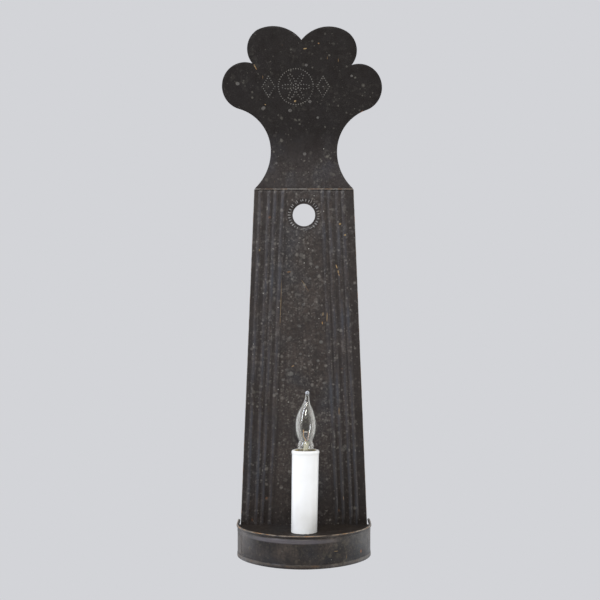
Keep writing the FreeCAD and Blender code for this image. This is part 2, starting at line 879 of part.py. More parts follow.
def lock_washer():
    """Makes the washer under the tray floor."""
    return candle_tube(
        washer_radius, nipple_radius + thread_clearance, washer_bottom_z, floor_bottom_z
    )


def locknut():
    """Makes the six-sided nut on the nipple."""
    corner = locknut_across_flats / math.sqrt(3)
    sides = 6
    points = [
        vec(
            candle_x + corner * math.cos(2 * math.pi * k / sides),
            candle_y + corner * math.sin(2 * math.pi * k / sides),
            locknut_bottom_z,
        )
        for k in range(sides)
    ]
    body = polygon_face(points).extrude(vec(0, 0, locknut_thickness))
    return body.cut(candle_rod(nipple_radius + thread_clearance, locknut_bottom_z, washer_bottom_z))


def rounded_path(points, radii):
    """Joins straight runs through the points with tangent arcs."""
    edges = []
    here = points[0]
    for corner, radius, before, after in zip(points[1:-1], radii, points, points[2:]):
        back = (before - corner).normalize()
        on = (after - corner).normalize()
        half_turn = (math.pi - back.getAngle(on)) / 2
        reach = radius * math.tan(half_turn)
        middle = (back + on).normalize()
        start = corner + back * reach
        end = corner + on * reach
        peak = corner + middle * (radius / math.cos(half_turn) - radius)
        edges.append(line(here, start))
        edges.append(arc(start, peak, end))
        here = end
    edges.append(line(here, points[-1]))
    return Part.Wire(edges)


def socket_lead(sign):
    """Makes one lead: out of the socket, down through the nipple, and across into its wire nut."""
    def at(x, z):
        return vec(candle_x + sign * x, candle_y, z)

    start = at(lead_exit_x, socket_bottom_z + lead_depth_in_socket)
    path = rounded_path(
        [
            start,
            at(lead_exit_x, socket_bottom_z - lead_straight),
            at(lead_bore_x, socket_bottom_z - lead_straight - lead_gather),
            at(lead_bore_x, lead_run_level),
            at(lead_run_x, lead_run_level),
        ],
        [lead_gentle_radius, lead_gentle_radius, lead_bend_radius],
    )
    ring = Part.Wire(Part.makeCircle(lead_radius, start, vec(0, 0, 1)))
    return path.makePipeShell([ring], True, False)


def wire_nuts():
    """Makes the two wire nuts, which lie on the tray's bottom with their mouths to the middle."""
    nuts = []
    for sign in (-1, 1):
        mouth = vec(candle_x + sign * nut_start_x, candle_y, lead_run_level)
        outward = vec(sign, 0, 0)
        cone = Part.makeCone(nut_mouth_radius, nut_end_radius, nut_length, mouth, outward)
        bore = Part.makeCylinder(nut_bore_radius, nut_bore_depth, mouth, outward)
        nuts.append(cone.cut(bore))
    return Part.makeCompound(nuts)


def wire_bushing():
    """Makes the bushing that lines the wire entry, pushed in from inside the tray."""
    back = Part.makeCylinder(
        bushing_radius, sheet + wall_y, vec(0, plate_front_y, entry_z), vec(0, 1, 0)
    )
    flange = Part.makeCylinder(
        bushing_flange_radius, bushing_flange, vec(0, plate_front_y - bushing_flange, entry_z),
        vec(0, 1, 0),
    )
    bore = Part.makeCylinder(
        bushing_bore_radius, bushing_flange + sheet + wall_y,
        vec(0, plate_front_y - bushing_flange, entry_z), vec(0, 1, 0),
    )
    return back.fuse(flange).cut(bore).removeSplitter()


def build():
    """Makes every piece under its node name."""
    return {
        "crest_plate": crest_plate(),
        "back_plate": back_plate(),
        "tray_band": tray_band(),
        "rim_wire": rim_wire(),
        "tray_floor": tray_floor(),
        "tray_bottom": tray_bottom(),
        "candle_cover": candle_cover(),
        "bulb_glass": bulb_glass(),
        "bulb_cap": bulb_cap(),
        "cap_insulator": cap_insulator(),
        "cap_contact": cap_contact(),
        "bulb_stem": bulb_stem(),
        "support_wires": support_wires(),
        "filament": filament(),
        "socket_screw_shell": socket_screw_shell(),
        "socket_body": socket_body(),
        "socket_center_contact": socket_center_contact(),
        "socket_rivet": socket_rivet(),
        "insulating_sleeve": insulating_sleeve(),
        "socket_bracket": socket_bracket(),
        "threaded_nipple": threaded_nipple(),
        "lock_washer": lock_washer(),
        "locknut": locknut(),
        "lead_black": socket_lead(-1),
        "lead_white": socket_lead(1),
        "wire_nuts": wire_nuts(),
        "wire_bushing": wire_bushing(),
    }


def main():
    """Writes one file for each piece."""
    os.makedirs("parts", exist_ok=True)
    for name, shape in build().items():
        if not shape.isValid():
            print("not valid:", name)
        shape.exportStep(os.path.join("parts", name + ".step"))
        print(name, len(shape.Solids), "solid(s),", round(shape.Volume), "mm3")


main()
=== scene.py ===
"""Looks of an aged tin wall sconce with one electric candle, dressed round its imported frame.

Lengths are in millimetres until a mesh is made. The origin is the centre of the hanging hole, on the
back of the back plate. +Z is up, +X is to the right, and the front looks along -Y.
"""

import logging
import math
from collections.abc import Callable
from dataclasses import dataclass, field
from enum import Enum
from functools import cache

import bmesh
import bpy
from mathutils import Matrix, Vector, noise


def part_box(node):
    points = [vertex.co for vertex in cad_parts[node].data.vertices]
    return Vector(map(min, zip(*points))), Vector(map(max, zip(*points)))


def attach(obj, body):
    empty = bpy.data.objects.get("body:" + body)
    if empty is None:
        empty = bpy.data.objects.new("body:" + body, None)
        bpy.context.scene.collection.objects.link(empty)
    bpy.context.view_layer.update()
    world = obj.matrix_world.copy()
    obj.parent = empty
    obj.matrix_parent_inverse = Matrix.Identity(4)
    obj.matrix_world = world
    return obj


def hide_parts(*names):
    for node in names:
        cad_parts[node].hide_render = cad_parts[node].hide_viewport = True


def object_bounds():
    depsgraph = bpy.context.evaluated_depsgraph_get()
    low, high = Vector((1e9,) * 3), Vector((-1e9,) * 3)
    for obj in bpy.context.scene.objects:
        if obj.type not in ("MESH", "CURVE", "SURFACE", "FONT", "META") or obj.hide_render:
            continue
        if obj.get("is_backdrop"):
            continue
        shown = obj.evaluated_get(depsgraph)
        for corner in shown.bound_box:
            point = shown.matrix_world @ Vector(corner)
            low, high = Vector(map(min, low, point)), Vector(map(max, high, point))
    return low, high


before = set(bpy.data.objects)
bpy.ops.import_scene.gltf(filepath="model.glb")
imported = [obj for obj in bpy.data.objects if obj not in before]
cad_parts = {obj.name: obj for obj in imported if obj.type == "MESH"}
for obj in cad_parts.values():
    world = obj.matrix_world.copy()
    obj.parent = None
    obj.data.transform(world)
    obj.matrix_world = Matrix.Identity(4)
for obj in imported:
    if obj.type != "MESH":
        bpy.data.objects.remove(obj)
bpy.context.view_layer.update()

Tree = bpy.types.NodeTree
Socket = bpy.types.NodeSocket
Piece = bpy.types.Object
Pair = tuple[float, float]
Triple = tuple[float, float, float]
Front = Callable[[float, float], float]

MM = 0.001
SHEET = 0.5
FULL_TURN = 2 * math.pi
RIGHT_ANGLE = math.pi / 2
log = logging.getLogger("wall_sconce")

# In a Map Range node, input 0 is the value, 1 and 2 are its range, and 3 and 4 the new range.
# In a colour Mix node, input 0 is the share, and 6 and 7 are the colours below and above.
COLOUR = {"data_type": "RGBA"}
COLOUR_RESULT = 2
TIMES = {"operation": "MULTIPLY"}
PLUS = {"operation": "ADD"}
LARGER = {"operation": "MAXIMUM"}


class Body(Enum):
    """The moving groups of the sconce."""

    SCONCE = "sconce"
    COVER = "candle_cover"
    LAMP = "lamp"


class Slot(Enum):
    """The record's material slots."""

    TIN = "aged_tin"
    STEEL_WIRE = "steel_wire"
    BRASS = "brass"
    CANDLE = "candle_white"
    GLASS = "clear_glass"
    COPPER = "copper_wire"
    TUNGSTEN = "tungsten"


def srgb(code: str) -> tuple[float, float, float, float]:
    """Turns a hex colour into linear red, green, blue and alpha.

    Args:
        code: six hex digits, as on a screen.

    Returns:
        The linear colour.
    """
    parts = [int(code[k:k + 2], 16) / 255 for k in (0, 2, 4)]
    linear = [c / 12.92 if c <= 0.04045 else ((c + 0.055) / 1.055) ** 2.4 for c in parts]
    return linear[0], linear[1], linear[2], 1.0


def add_node(tree: Tree, kind: str, inputs: dict, settings: dict | None = None,
             out: int | str = 0) -> Socket | bpy.types.Node:
    """Adds a shader node with its settings, values and links.

    Args:
        tree: the node tree.
        kind: the node's type.
        inputs: for each input, a value or the socket to link to it.
        settings: the node's own options.
        out: which output to give back.

    Returns:
        That output socket, or the node if it has none.
    """
    node = tree.nodes.new(kind)
    for name, value in (settings or {}).items():
        setattr(node, name, value)
    for name, value in inputs.items():
        if isinstance(value, Socket):
            tree.links.new(value, node.inputs[name])
        else:
            node.inputs[name].default_value = value
    return node.outputs[out] if len(node.outputs) else node


def mapped(tree: Tree, size: float, stretch: Triple = (1, 1, 1)) -> Socket:
    """Gives a piece's own coordinates in units of a pattern.

    Args:
        tree: the node tree.
        size: the pattern's real size in millimetres.
        stretch: how much finer the pattern is along each axis.

    Returns:
        The vector socket.
    """
    own = add_node(tree, "ShaderNodeTexCoord", {}, out="Object")
    return add_node(tree, "ShaderNodeVectorMath", {0: own, 1: [s / (size * MM) for s in stretch]}, TIMES)


def clouds(tree: Tree, size: float, low: float, high: float, stretch: Triple = (1, 1, 1),
           detail: float = 4) -> Socket:
    """Makes soft patches from 0 to 1.

    Args:
        tree: the node tree.
        size: the patches' real size in millimetres.
        low: the noise level that becomes 0.
        high: the noise level that becomes 1.
        stretch: how much finer the patches are along each axis.
        detail: how many finer layers are added.

    Returns:
        The mask socket.
    """
    vector = mapped(tree, size, stretch)
    level = add_node(tree, "ShaderNodeTexNoise", {"Vector": vector, "Scale": 1, "Detail": detail})
    return add_node(tree, "ShaderNodeMapRange", {0: level, 1: low, 2: high})


def specks(tree: Tree, cell: float, radius: float, chance: float, crowd: Socket | None = None,
           stretch: Triple = (1, 1, 1)) -> Socket:
    """Makes scattered roundish spots, some stronger than others.

    Args:
        tree: the node tree.
        cell: the mean distance between places for a spot, in millimetres.
        radius: the largest spot's radius, as a share of the cell.
        chance: the share of places that have a spot.
        crowd: a mask that thins the spots out where it is low.
        stretch: how much finer the pattern is along each axis.

    Returns:
        The mask socket.
    """
    even = mapped(tree, cell, stretch)
    wobble = add_node(tree, "ShaderNodeTexNoise", {"Vector": even, "Scale": 3, "Detail": 2}, out=1)
    vector = add_node(
        tree, "ShaderNodeVectorMath", {0: wobble, 1: (0.22, 0.22, 0.22), 2: even},
        {"operation": "MULTIPLY_ADD"},
    )
    distance = add_node(tree, "ShaderNodeTexVoronoi", {"Vector": vector, "Scale": 1})
    spot = add_node(tree, "ShaderNodeMapRange", {0: distance, 1: radius, 2: radius * 0.45})
    ticket = add_node(tree, "ShaderNodeSeparateColor", {0: distance.node.outputs["Color"]})
    if crowd is not None:
        chance = add_node(tree, "ShaderNodeMath", {0: crowd, 1: chance}, TIMES)
    drawn = add_node(tree, "ShaderNodeMath", {0: ticket, 1: chance}, {"operation": "LESS_THAN"})
    strength = add_node(tree, "ShaderNodeMapRange", {0: ticket.node.outputs[1], 3: 0.35, 4: 1})
    for share in (drawn, strength):
        spot = add_node(tree, "ShaderNodeMath", {0: spot, 1: share}, TIMES)
    return spot


def cover(tree: Tree, below: Socket | tuple, mask: Socket, above: Socket | tuple,
          strength: Socket | float | None = None) -> Socket:
    """Lays one more colour over what is there.

    Args:
        tree: the node tree.
        below: the colour that is there so far.
        mask: where the new colour lies.
        above: the new colour.
        strength: how much it covers there. Without it, it covers fully.

    Returns:
        The colour socket.
    """
    if strength is not None:
        mask = add_node(tree, "ShaderNodeMath", {0: mask, 1: strength}, TIMES)
    return add_node(tree, "ShaderNodeMix", {0: mask, 6: below, 7: above}, COLOUR, COLOUR_RESULT)


@dataclass(frozen=True)
class Finish:
    """A finish: what its material is called."""

    name: str

    def surface(self, tree: Tree) -> dict:
        """Gives the shader's inputs. Each kind of finish builds them in its own way.

        Args:
            tree: the material's node tree.

        Returns:
            For each of the shader's inputs, its value or the socket to link to it.
        """
        raise NotImplementedError

    def material(self) -> bpy.types.Material:
        """Gives the material, made once."""
        return build_material(self)


@cache
def build_material(finish: Finish) -> bpy.types.Material:
    """Makes a finish's material.

    Args:
        finish: the finish.

    Returns:
        The new material.
    """
    material = bpy.data.materials.new(finish.name)
    material.use_nodes = True
    tree = material.node_tree
    tree.nodes.clear()
    shader = add_node(tree, "ShaderNodeBsdfPrincipled", finish.surface(tree))
    add_node(tree, "ShaderNodeOutputMaterial", {"Surface": shader})
    return material


@dataclass(frozen=True)
class AgedTin(Finish):
    """Tinned sheet iron, hand-worked and long oxidised to a dark brown-black.

    The tin has turned to a dull oxide, so it reads as a dark warm grey with a weak broad sheen.
    Many soft grey spots are old drips and blooms, pinpoints are tin that still shows, and a few
    orange ones are rust from the iron under it. Rubbed edges are paler. Ridges are paler too, partly
    rubbed and partly a painted sheen, and grime with painted shade lies in the valleys. Painted shade
    darkens the sheet from the height dark_from to dark_to, and its spots crowd in clouds from
    crowd_from to crowd_to.
    """

    ground: str = "2c2521"
    bloom: str = "3a322d"
    cool: str = "2f2e30"
    pit: str = "1c1816"
    spot: str = "7f7a72"
    pinpoint: str = "b0ada3"
    rust: str = "8a5a36"
    gold: str = "a5845a"
    worn: str = "86623f"
    rubbed: str = "8f8b84"
    grime_and_shade: str = "1e1815"
    # ridge and crown: the crowns of ribs and beads, paler from rubbing and from a painted sheen
    ridge: str = "626874"
    crown: float = 0.15
    spotted: float = 0.6
    streaks: float = 0.5
    roughness: float = 0.45
    level: float = 0.33
    # painted shade: darker from dark_from down to dark_to, starting higher on the right, where the
    # candle's and the tray's shadow falls
    dark_from: float = -205
    dark_to: float = -270
    dark_slant: float = 0.7
    darkness: float = 0.6
    crowd_from: float = 0.3
    crowd_to: float = 0.52

    def ground_colour(self, tree: Tree) -> Socket:
        """Builds the mottled ground with cool clouds, pits and upright streaks.

        Args:
            tree: the node tree.

        Returns:
            The colour socket.
        """
        colour = cover(tree, srgb(self.ground), clouds(tree, 15, 0.36, 0.64), srgb(self.bloom))
        for mask, code, strength in (
            (clouds(tree, 34, 0.5, 0.68), self.cool, 0.8),
            (clouds(tree, 2.3, 0.4, 0.66), self.pit, 0.6),
            (clouds(tree, 3.0, 0.5, 0.74, (1, 1, 0.06)), self.pit, self.streaks),
        ):
            colour = cover(tree, colour, mask, srgb(code), strength)
        return colour

    def painted_shade_mask(self, tree: Tree) -> Socket:
        """Builds the mask of the painted shade, from dark_from to dark_to, slanted across by dark_slant.

        Args:
            tree: the node tree.

        Returns:
            The mask socket.
        """
        own = add_node(tree, "ShaderNodeTexCoord", {}, out="Object")
        height = add_node(
            tree, "ShaderNodeVectorMath", {0: own, 1: (-self.dark_slant, 0, 1)},
            {"operation": "DOT_PRODUCT"}, "Value",
        )
        return add_node(
            tree, "ShaderNodeMapRange", {0: height, 1: self.dark_from * MM, 2: self.dark_to * MM}
        )

    def crowded(self, tree: Tree, level: Socket, dark: Socket) -> Socket:
        """Builds the mask of where spots crowd: less on ribs, in the valleys and in the painted shade.

        Args:
            tree: the node tree.
            level: from -1 in a valley to 1 on a rib.
            dark: the mask of the painted shade.

        Returns:
            The mask socket.
        """
        crowd = clouds(tree, 40, self.crowd_from, self.crowd_to)
        handling_and_light = add_node(tree, "ShaderNodeMath", {0: level}, {"operation": "ABSOLUTE"})
        for mask, left in ((handling_and_light, 0.3), (dark, 1 - self.darkness * 0.75)):
            kept = add_node(tree, "ShaderNodeMapRange", {0: mask, 3: 1.0, 4: left})
            crowd = add_node(tree, "ShaderNodeMath", {0: crowd, 1: kept}, TIMES)
        return crowd

    def surface(self, tree: Tree) -> dict:
        """Lays painted shade with grime, spots, rust, ridges rubbed and painted paler, and bare edges
        over the ground.

        Args:
            tree: the material's node tree.

        Returns:
            The shader's inputs.
        """
        level = add_node(tree, "ShaderNodeAttribute", {}, {"attribute_name": "ridge"}, "Fac")
        wear = add_node(tree, "ShaderNodeAttribute", {}, {"attribute_name": "wear"}, "Fac")
        valley = add_node(tree, "ShaderNodeMapRange", {0: level, 1: 0, 2: -1})
        crown = add_node(tree, "ShaderNodeMapRange", {0: level, 1: 0.2, 2: 1})
        dark = self.painted_shade_mask(tree)
        crowd = self.crowded(tree, level, dark)
        large = specks(tree, 6.4, 0.3, 0.45, crowd)
        blooms, dust = (
            add_node(tree, "ShaderNodeMath", {0: mask, 1: crowd}, TIMES)
            for mask in (clouds(tree, 4.2, 0.58, 0.7, detail=1), clouds(tree, 1.3, 0.5, 0.75, detail=2))
        )
        colour = self.ground_colour(tree)
        for mask, code, strength in (
            # painted shade: the dark stretch, and the valleys, the dish and under the rolled rim, where
            # it deepens the grime
            (dark, self.grime_and_shade, self.darkness),
            (valley, self.grime_and_shade, 0.7),
            # painted sheen on the crowns of ribs and beads, which are also rubbed paler
            (crown, self.ridge, self.crown),
            (dust, self.spot, self.spotted * 0.3),
            (blooms, self.spot, self.spotted * 0.4),
            (specks(tree, 2.2, 0.34, 0.5, crowd), self.spot, self.spotted * 0.6),
            (specks(tree, 3.7, 0.32, 0.6, crowd), self.spot, self.spotted * 0.75),
            (large, self.spot, self.spotted * 0.8),
            (specks(tree, 4.4, 0.13, 0.2, crowd), self.pinpoint, 0.8),
            (specks(tree, 16, 0.1, 0.3), self.rust, 0.8),
            (specks(tree, 8, 0.1, 0.16, stretch=(1.6, 1, 0.3)), self.gold, 0.8),
        ):
            colour = cover(tree, colour, mask, srgb(code), strength)
        bare = cover(tree, srgb(self.rubbed), clouds(tree, 9, 0.52, 0.62), srgb(self.worn))
        relief = add_node(tree, "ShaderNodeMath", {0: large, 1: clouds(tree, 1.1, 0.2, 0.8)}, PLUS)
        return {
            "Base Color": cover(tree, colour, wear, bare, clouds(tree, 6, 0.3, 0.55)),
            "Metallic": add_node(tree, "ShaderNodeMath", {0: crown, 1: 0.1}, TIMES),
            "Specular IOR Level": self.level,
            "Roughness": add_node(
                tree, "ShaderNodeMapRange",
                {0: clouds(tree, 8, 0.3, 0.7), 3: self.roughness - 0.07, 4: self.roughness + 0.08},
            ),
            "Normal": add_node(tree, "ShaderNodeBump", {"Height": relief, "Distance": 0.05 * MM}),
        }


@dataclass(frozen=True)
class BareEdge(Finish):
    """A sheared edge of the sheet, rubbed back to iron: thin, warm and copper-brown."""

    light: str = "86684c"
    dark: str = "2c211b"

    def surface(self, tree: Tree) -> dict:
        """Mixes rubbed and dark stretches along the edge.

        Args:
            tree: the material's node tree.

        Returns:
            The shader's inputs.
        """
        return {
            "Base Color": cover(tree, srgb(self.dark), clouds(tree, 7, 0.46, 0.64), srgb(self.light)),
            "Metallic": 0.5,
            "Roughness": 0.45,
        }


@dataclass(frozen=True)
class Metal(Finish):
    """A plain metal that has been handled.

    It is bright where it was drawn or stamped, tarnished in soft patches, and has a fine grain, so
    it gives a broken, coloured sheen rather than a mirror.
    """

    bright: str = "b08d4e"
    tarnish: str = "6b5228"
    roughness: float = 0.3
    patch: float = 4

    def surface(self, tree: Tree) -> dict:
        """Mixes bright metal and tarnish.

        Args:
            tree: the material's node tree.

        Returns:
            The shader's inputs.
        """
        mask = clouds(tree, self.patch, 0.35, 0.7)
        grain = clouds(tree, 0.4, 0.2, 0.8)
        return {
            "Base Color": cover(tree, srgb(self.bright), mask, srgb(self.tarnish)),
            "Metallic": 1.0,
            "Roughness": add_node(
                tree, "ShaderNodeMapRange", {0: mask, 3: self.roughness, 4: self.roughness + 0.2}
            ),
            "Normal": add_node(tree, "ShaderNodeBump", {"Height": grain, "Distance": 0.015 * MM}),
        }


@dataclass(frozen=True)
class Moulded(Finish):
    """A moulded plastic or glass: even, slightly cloudy colour under a satin skin.

    The skin gives a soft sheen with faint unevenness. Where the wear attribute says so it is browned,
    partly by the lamp's heat and partly as painted shade with the brass cap's reflection in the bore.
    """

    colour: str = "f3f3f0"
    shade: str = "ebeae5"
    roughness: float = 0.36
    texture: float = 0.01
    browning_and_shade: str = "a8944a"
    ior: float = 1.49

    def surface(self, tree: Tree) -> dict:
        """Clouds the colour a little and browns it where the lamp has heated it.

        Args:
            tree: the material's node tree.

        Returns:
            The shader's inputs.
        """
        colour = cover(tree, srgb(self.colour), clouds(tree, 18, 0.35, 0.7), srgb(self.shade))
        tint_mask = add_node(tree, "ShaderNodeAttribute", {}, {"attribute_name": "wear"}, "Fac")
        grain = clouds(tree, 0.7, 0.2, 0.8)
        return {
            "Base Color": cover(tree, colour, tint_mask, srgb(self.browning_and_shade)),
            "IOR": self.ior,
            "Roughness": add_node(
                tree, "ShaderNodeMapRange",
                {0: clouds(tree, 7, 0.3, 0.7), 3: self.roughness - 0.04, 4: self.roughness + 0.06},
            ),
            "Normal": add_node(
                tree, "ShaderNodeBump", {"Height": grain, "Distance": self.texture * MM}
            ),
        }


@dataclass(frozen=True)
class BlownGlass(Finish):
    """Thin blown soda-lime glass.

    It is clear with a trace of film inside, which shows where the wall is seen edge-on, so its
    flanks read pale grey: partly film, partly a painted sheen for the lamps' reflections. Its gloss
    is sharp with long streaks of the lamps.
    """

    tint: str = "f2f1ea"
    ior: float = 1.5
    clear: float = 1.0
    film_and_sheen: float = 0.17
    level: float = 0.9
    haze: float = 0.03

    def surface(self, tree: Tree) -> dict:
        """Makes the shader clear, with its film and slightly uneven gloss.

        Args:
            tree: the material's node tree.

        Returns:
            The shader's inputs.
        """
        edge_on = add_node(tree, "ShaderNodeLayerWeight", {"Blend": 0.5}, out="Facing")
        return {
            "Base Color": srgb(self.tint),
            "Transmission Weight": add_node(
                tree, "ShaderNodeMapRange",
                {0: edge_on, 1: 0.04, 2: 0.24, 3: self.clear, 4: self.clear - self.film_and_sheen},
            ),
            "IOR": self.ior,
            "Specular IOR Level": self.level,
            "Roughness": add_node(
                tree, "ShaderNodeMapRange", {0: clouds(tree, 6, 0.4, 0.7), 3: 0.0, 4: self.haze}
            ),
        }


@dataclass(frozen=True)
class KraftCard(Finish):
    """Rolled kraft card: brown fibres and a matt, dry surface."""

    light: str = "a9865a"
    dark: str = "8a6a43"

    def surface(self, tree: Tree) -> dict:
        """Draws fibres about 3 mm long, coarser than real so that they show.

        Args:
            tree: the material's node tree.

        Returns:
            The shader's inputs.
        """
        fibres = clouds(tree, 3, 0.35, 0.65, (1, 1, 5))
        return {
            "Base Color": cover(tree, srgb(self.light), fibres, srgb(self.dark)),
            "Roughness": 0.85,
            "Normal": add_node(tree, "ShaderNodeBump", {"Height": fibres, "Distance": 0.03 * MM}),
        }


TIN = AgedTin("oxidised_tinned_sheet", spotted=0.54)
# Painted shade: blacker towards its top for the shade of its forward lean, cooler, and with fewer spots
CREST_TIN = AgedTin(
    "oxidised_tinned_sheet_shaded", ground="2a2321", bloom="35302e", cool="323238", spot="726e64",
    pinpoint="96928a", grime_and_shade="15100d", spotted=0.6, streaks=0.1, roughness=0.48, level=0.25,
    dark_from=40, dark_to=73, dark_slant=0.0, darkness=0.95, crowd_from=0.38, crowd_to=0.62,
)
# Handled most: smoother, with pale brown iron along its rim and a bead painted paler as a highlight
TRAY_TIN = AgedTin(
    "oxidised_tinned_sheet_tray", ground="1f1a17", bloom="453c34", cool="2b2b2d", spot="605949",
    ridge="7b767a", worn="94704c", rubbed="8a7c6c", crown=0.4, spotted=0.5, streaks=0.4,
    roughness=0.38, level=0.3, darkness=0.0,
)
# Dull and nearly even, with few spots: soot and dust, and painted shade inside the tray
FLOOR_TIN = AgedTin(
    "oxidised_tinned_sheet_sooty_shaded", ground="2b2521", bloom="332d28", cool="2d2c2c", spotted=0.1,
    streaks=0.0, roughness=0.5, level=0.1, darkness=0.0,
)
# Rolled over and little rubbed: its bare stretches stay dark
HEAD_TIN = AgedTin("oxidised_tinned_sheet_rolled", worn="6f563f", rubbed="7c7871")
# Punched up from behind: the crown of each dot is rubbed to a plain grey
WORN_TIN = AgedTin(
    "punched_tin_rubbed", ground="37342f", bloom="45413a", cool="3b3b39", worn="605c53",
    rubbed="63605a", streaks=0.0,
)
# Crimped with a chisel: the ridges beside each tick are paler still, partly rubbed and partly a painted
# highlight
TICK_TIN = AgedTin(
    "crimped_tin_rubbed_and_highlit", ground="33302e", bloom="403c3a", cool="3b3b3d", worn="776e64",
    rubbed="85827f", streaks=0.0,
)
# Iron rust that has lifted the tin: matt orange-brown
RUST = AgedTin(
    "rust_bloom", ground="5c4229", bloom="73593a", cool="6a5336", worn="92693c", rubbed="988258",
    streaks=0.0, roughness=0.6, darkness=0.0,
)
# Old drips dried on the sheet: matt and a little paler than the oxide
DRIP = AgedTin(
    "dried_drip", ground="3c3835", bloom="45413d", cool="3e3d3b", worn="4c4844", rubbed="55524d",
    streaks=0.0, roughness=0.55, darkness=0.0,
)
EDGE = BareEdge("sheared_tin_edge")
CANDLE = Moulded("satin_white_styrene")
GLASS = BlownGlass("blown_clear_glass")
# Thick glass, pressed or fused: less clear than the blown wall. The stem's pale colour is also a painted
# reflection of the white sleeve.
STEM_GLASS = BlownGlass("pressed_lead_glass", tint="fffbea", clear=0.15, level=0.5)
TIP_GLASS = BlownGlass("fused_glass_tip", tint="eef3f8", clear=0.75, level=0.5)
AMBER_WIRE = Metal("borated_lead_in_wire", "f4cf8c", "d8a052", 0.25, 2)
BRASS = Metal("drawn_brass")
COPPER = Metal("copper_clad_wire", "e4c4b4", "b98e7a", 0.3, 2)
TUNGSTEN = Metal("coiled_tungsten", "d6d0c8", "a8a29c", 0.3, 1)
RIM_WIRE = Metal("drawn_steel_wire", "77736f", "4a3d34", 0.4, 5)

NODE_FINISHES: dict[str, Finish] = {
    "tray_floor": FLOOR_TIN,
    "cap_insulator": Moulded("black_glass_button", "15131a", "1d1a22", 0.12, ior=1.5),
    "cap_contact": Metal("tin_lead_solder", "a9aaac", "7b7c7f", 0.35, 2),
    "socket_screw_shell": BRASS,
    "socket_center_contact": BRASS,
    "socket_rivet": BRASS,
    "socket_body": Moulded("brown_black_phenolic", "241a16", "2f221c", 0.3, ior=1.6),
    "insulating_sleeve": KraftCard("rolled_kraft_card"),
    "socket_bracket": Metal("zinc_plated_strip", "b4b7ba", "8d9094", 0.32, 6),
    "threaded_nipple": Metal("zinc_plated_pipe", "b4b7ba", "8d9094", 0.32, 6),
    "lock_washer": Metal("zinc_plated_washer", "aeb1b4", "8a8d90", 0.36, 6),
    "locknut": Metal("zinc_plated_nut", "aeb1b4", "8a8d90", 0.36, 6),
    "lead_black": Moulded("black_lead_sheath", "17171a", "202024", 0.42, ior=1.53),
    "lead_white": Moulded("white_lead_sheath", "dcdad2", "cfccc2", 0.42, ior=1.53),
    "wire_nuts": Moulded("orange_wire_nut", "c9702a", "b9631f", 0.38, ior=1.5),
    "wire_bushing": Moulded("black_nylon_bushing", "1a1a1b", "242425", 0.4, ior=1.53),
}


def spread(start: float, end: float, step: float) -> list[float]:
    """Divides a stretch evenly.

    Args:
        start: its first value.
        end: its last value.
        step: about how far apart the values are.

    Returns:
        The values, both ends among them.
    """
    count = max(1, round(abs(end - start) / step))
    return [start + (end - start) * k / count for k in range(count + 1)]


def smooth(low: float, high: float, value: float) -> float:
    """Eases from 0 at low to 1 at high."""
    t = min(1.0, max(0.0, (value - low) / (high - low)))
    return t * t * (3 - 2 * t)


def ripple(x: float, z: float, size: float, seed: float) -> float:
    """Gives a fixed soft unevenness from -1 to 1, of a size in millimetres."""
    return noise.noise(Vector((x / size, seed, z / size)))


def around(steps: int) -> list[float]:
    """Lists the angles of a ring's points."""
    return [FULL_TURN * k / steps for k in range(steps)]


def polar(radius: float, angle: float, x: float = 0.0, y: float = 0.0) -> Pair:
    """Gives the point at a distance and an angle from a centre."""
    return x + radius * math.cos(angle), y + radius * math.sin(angle)


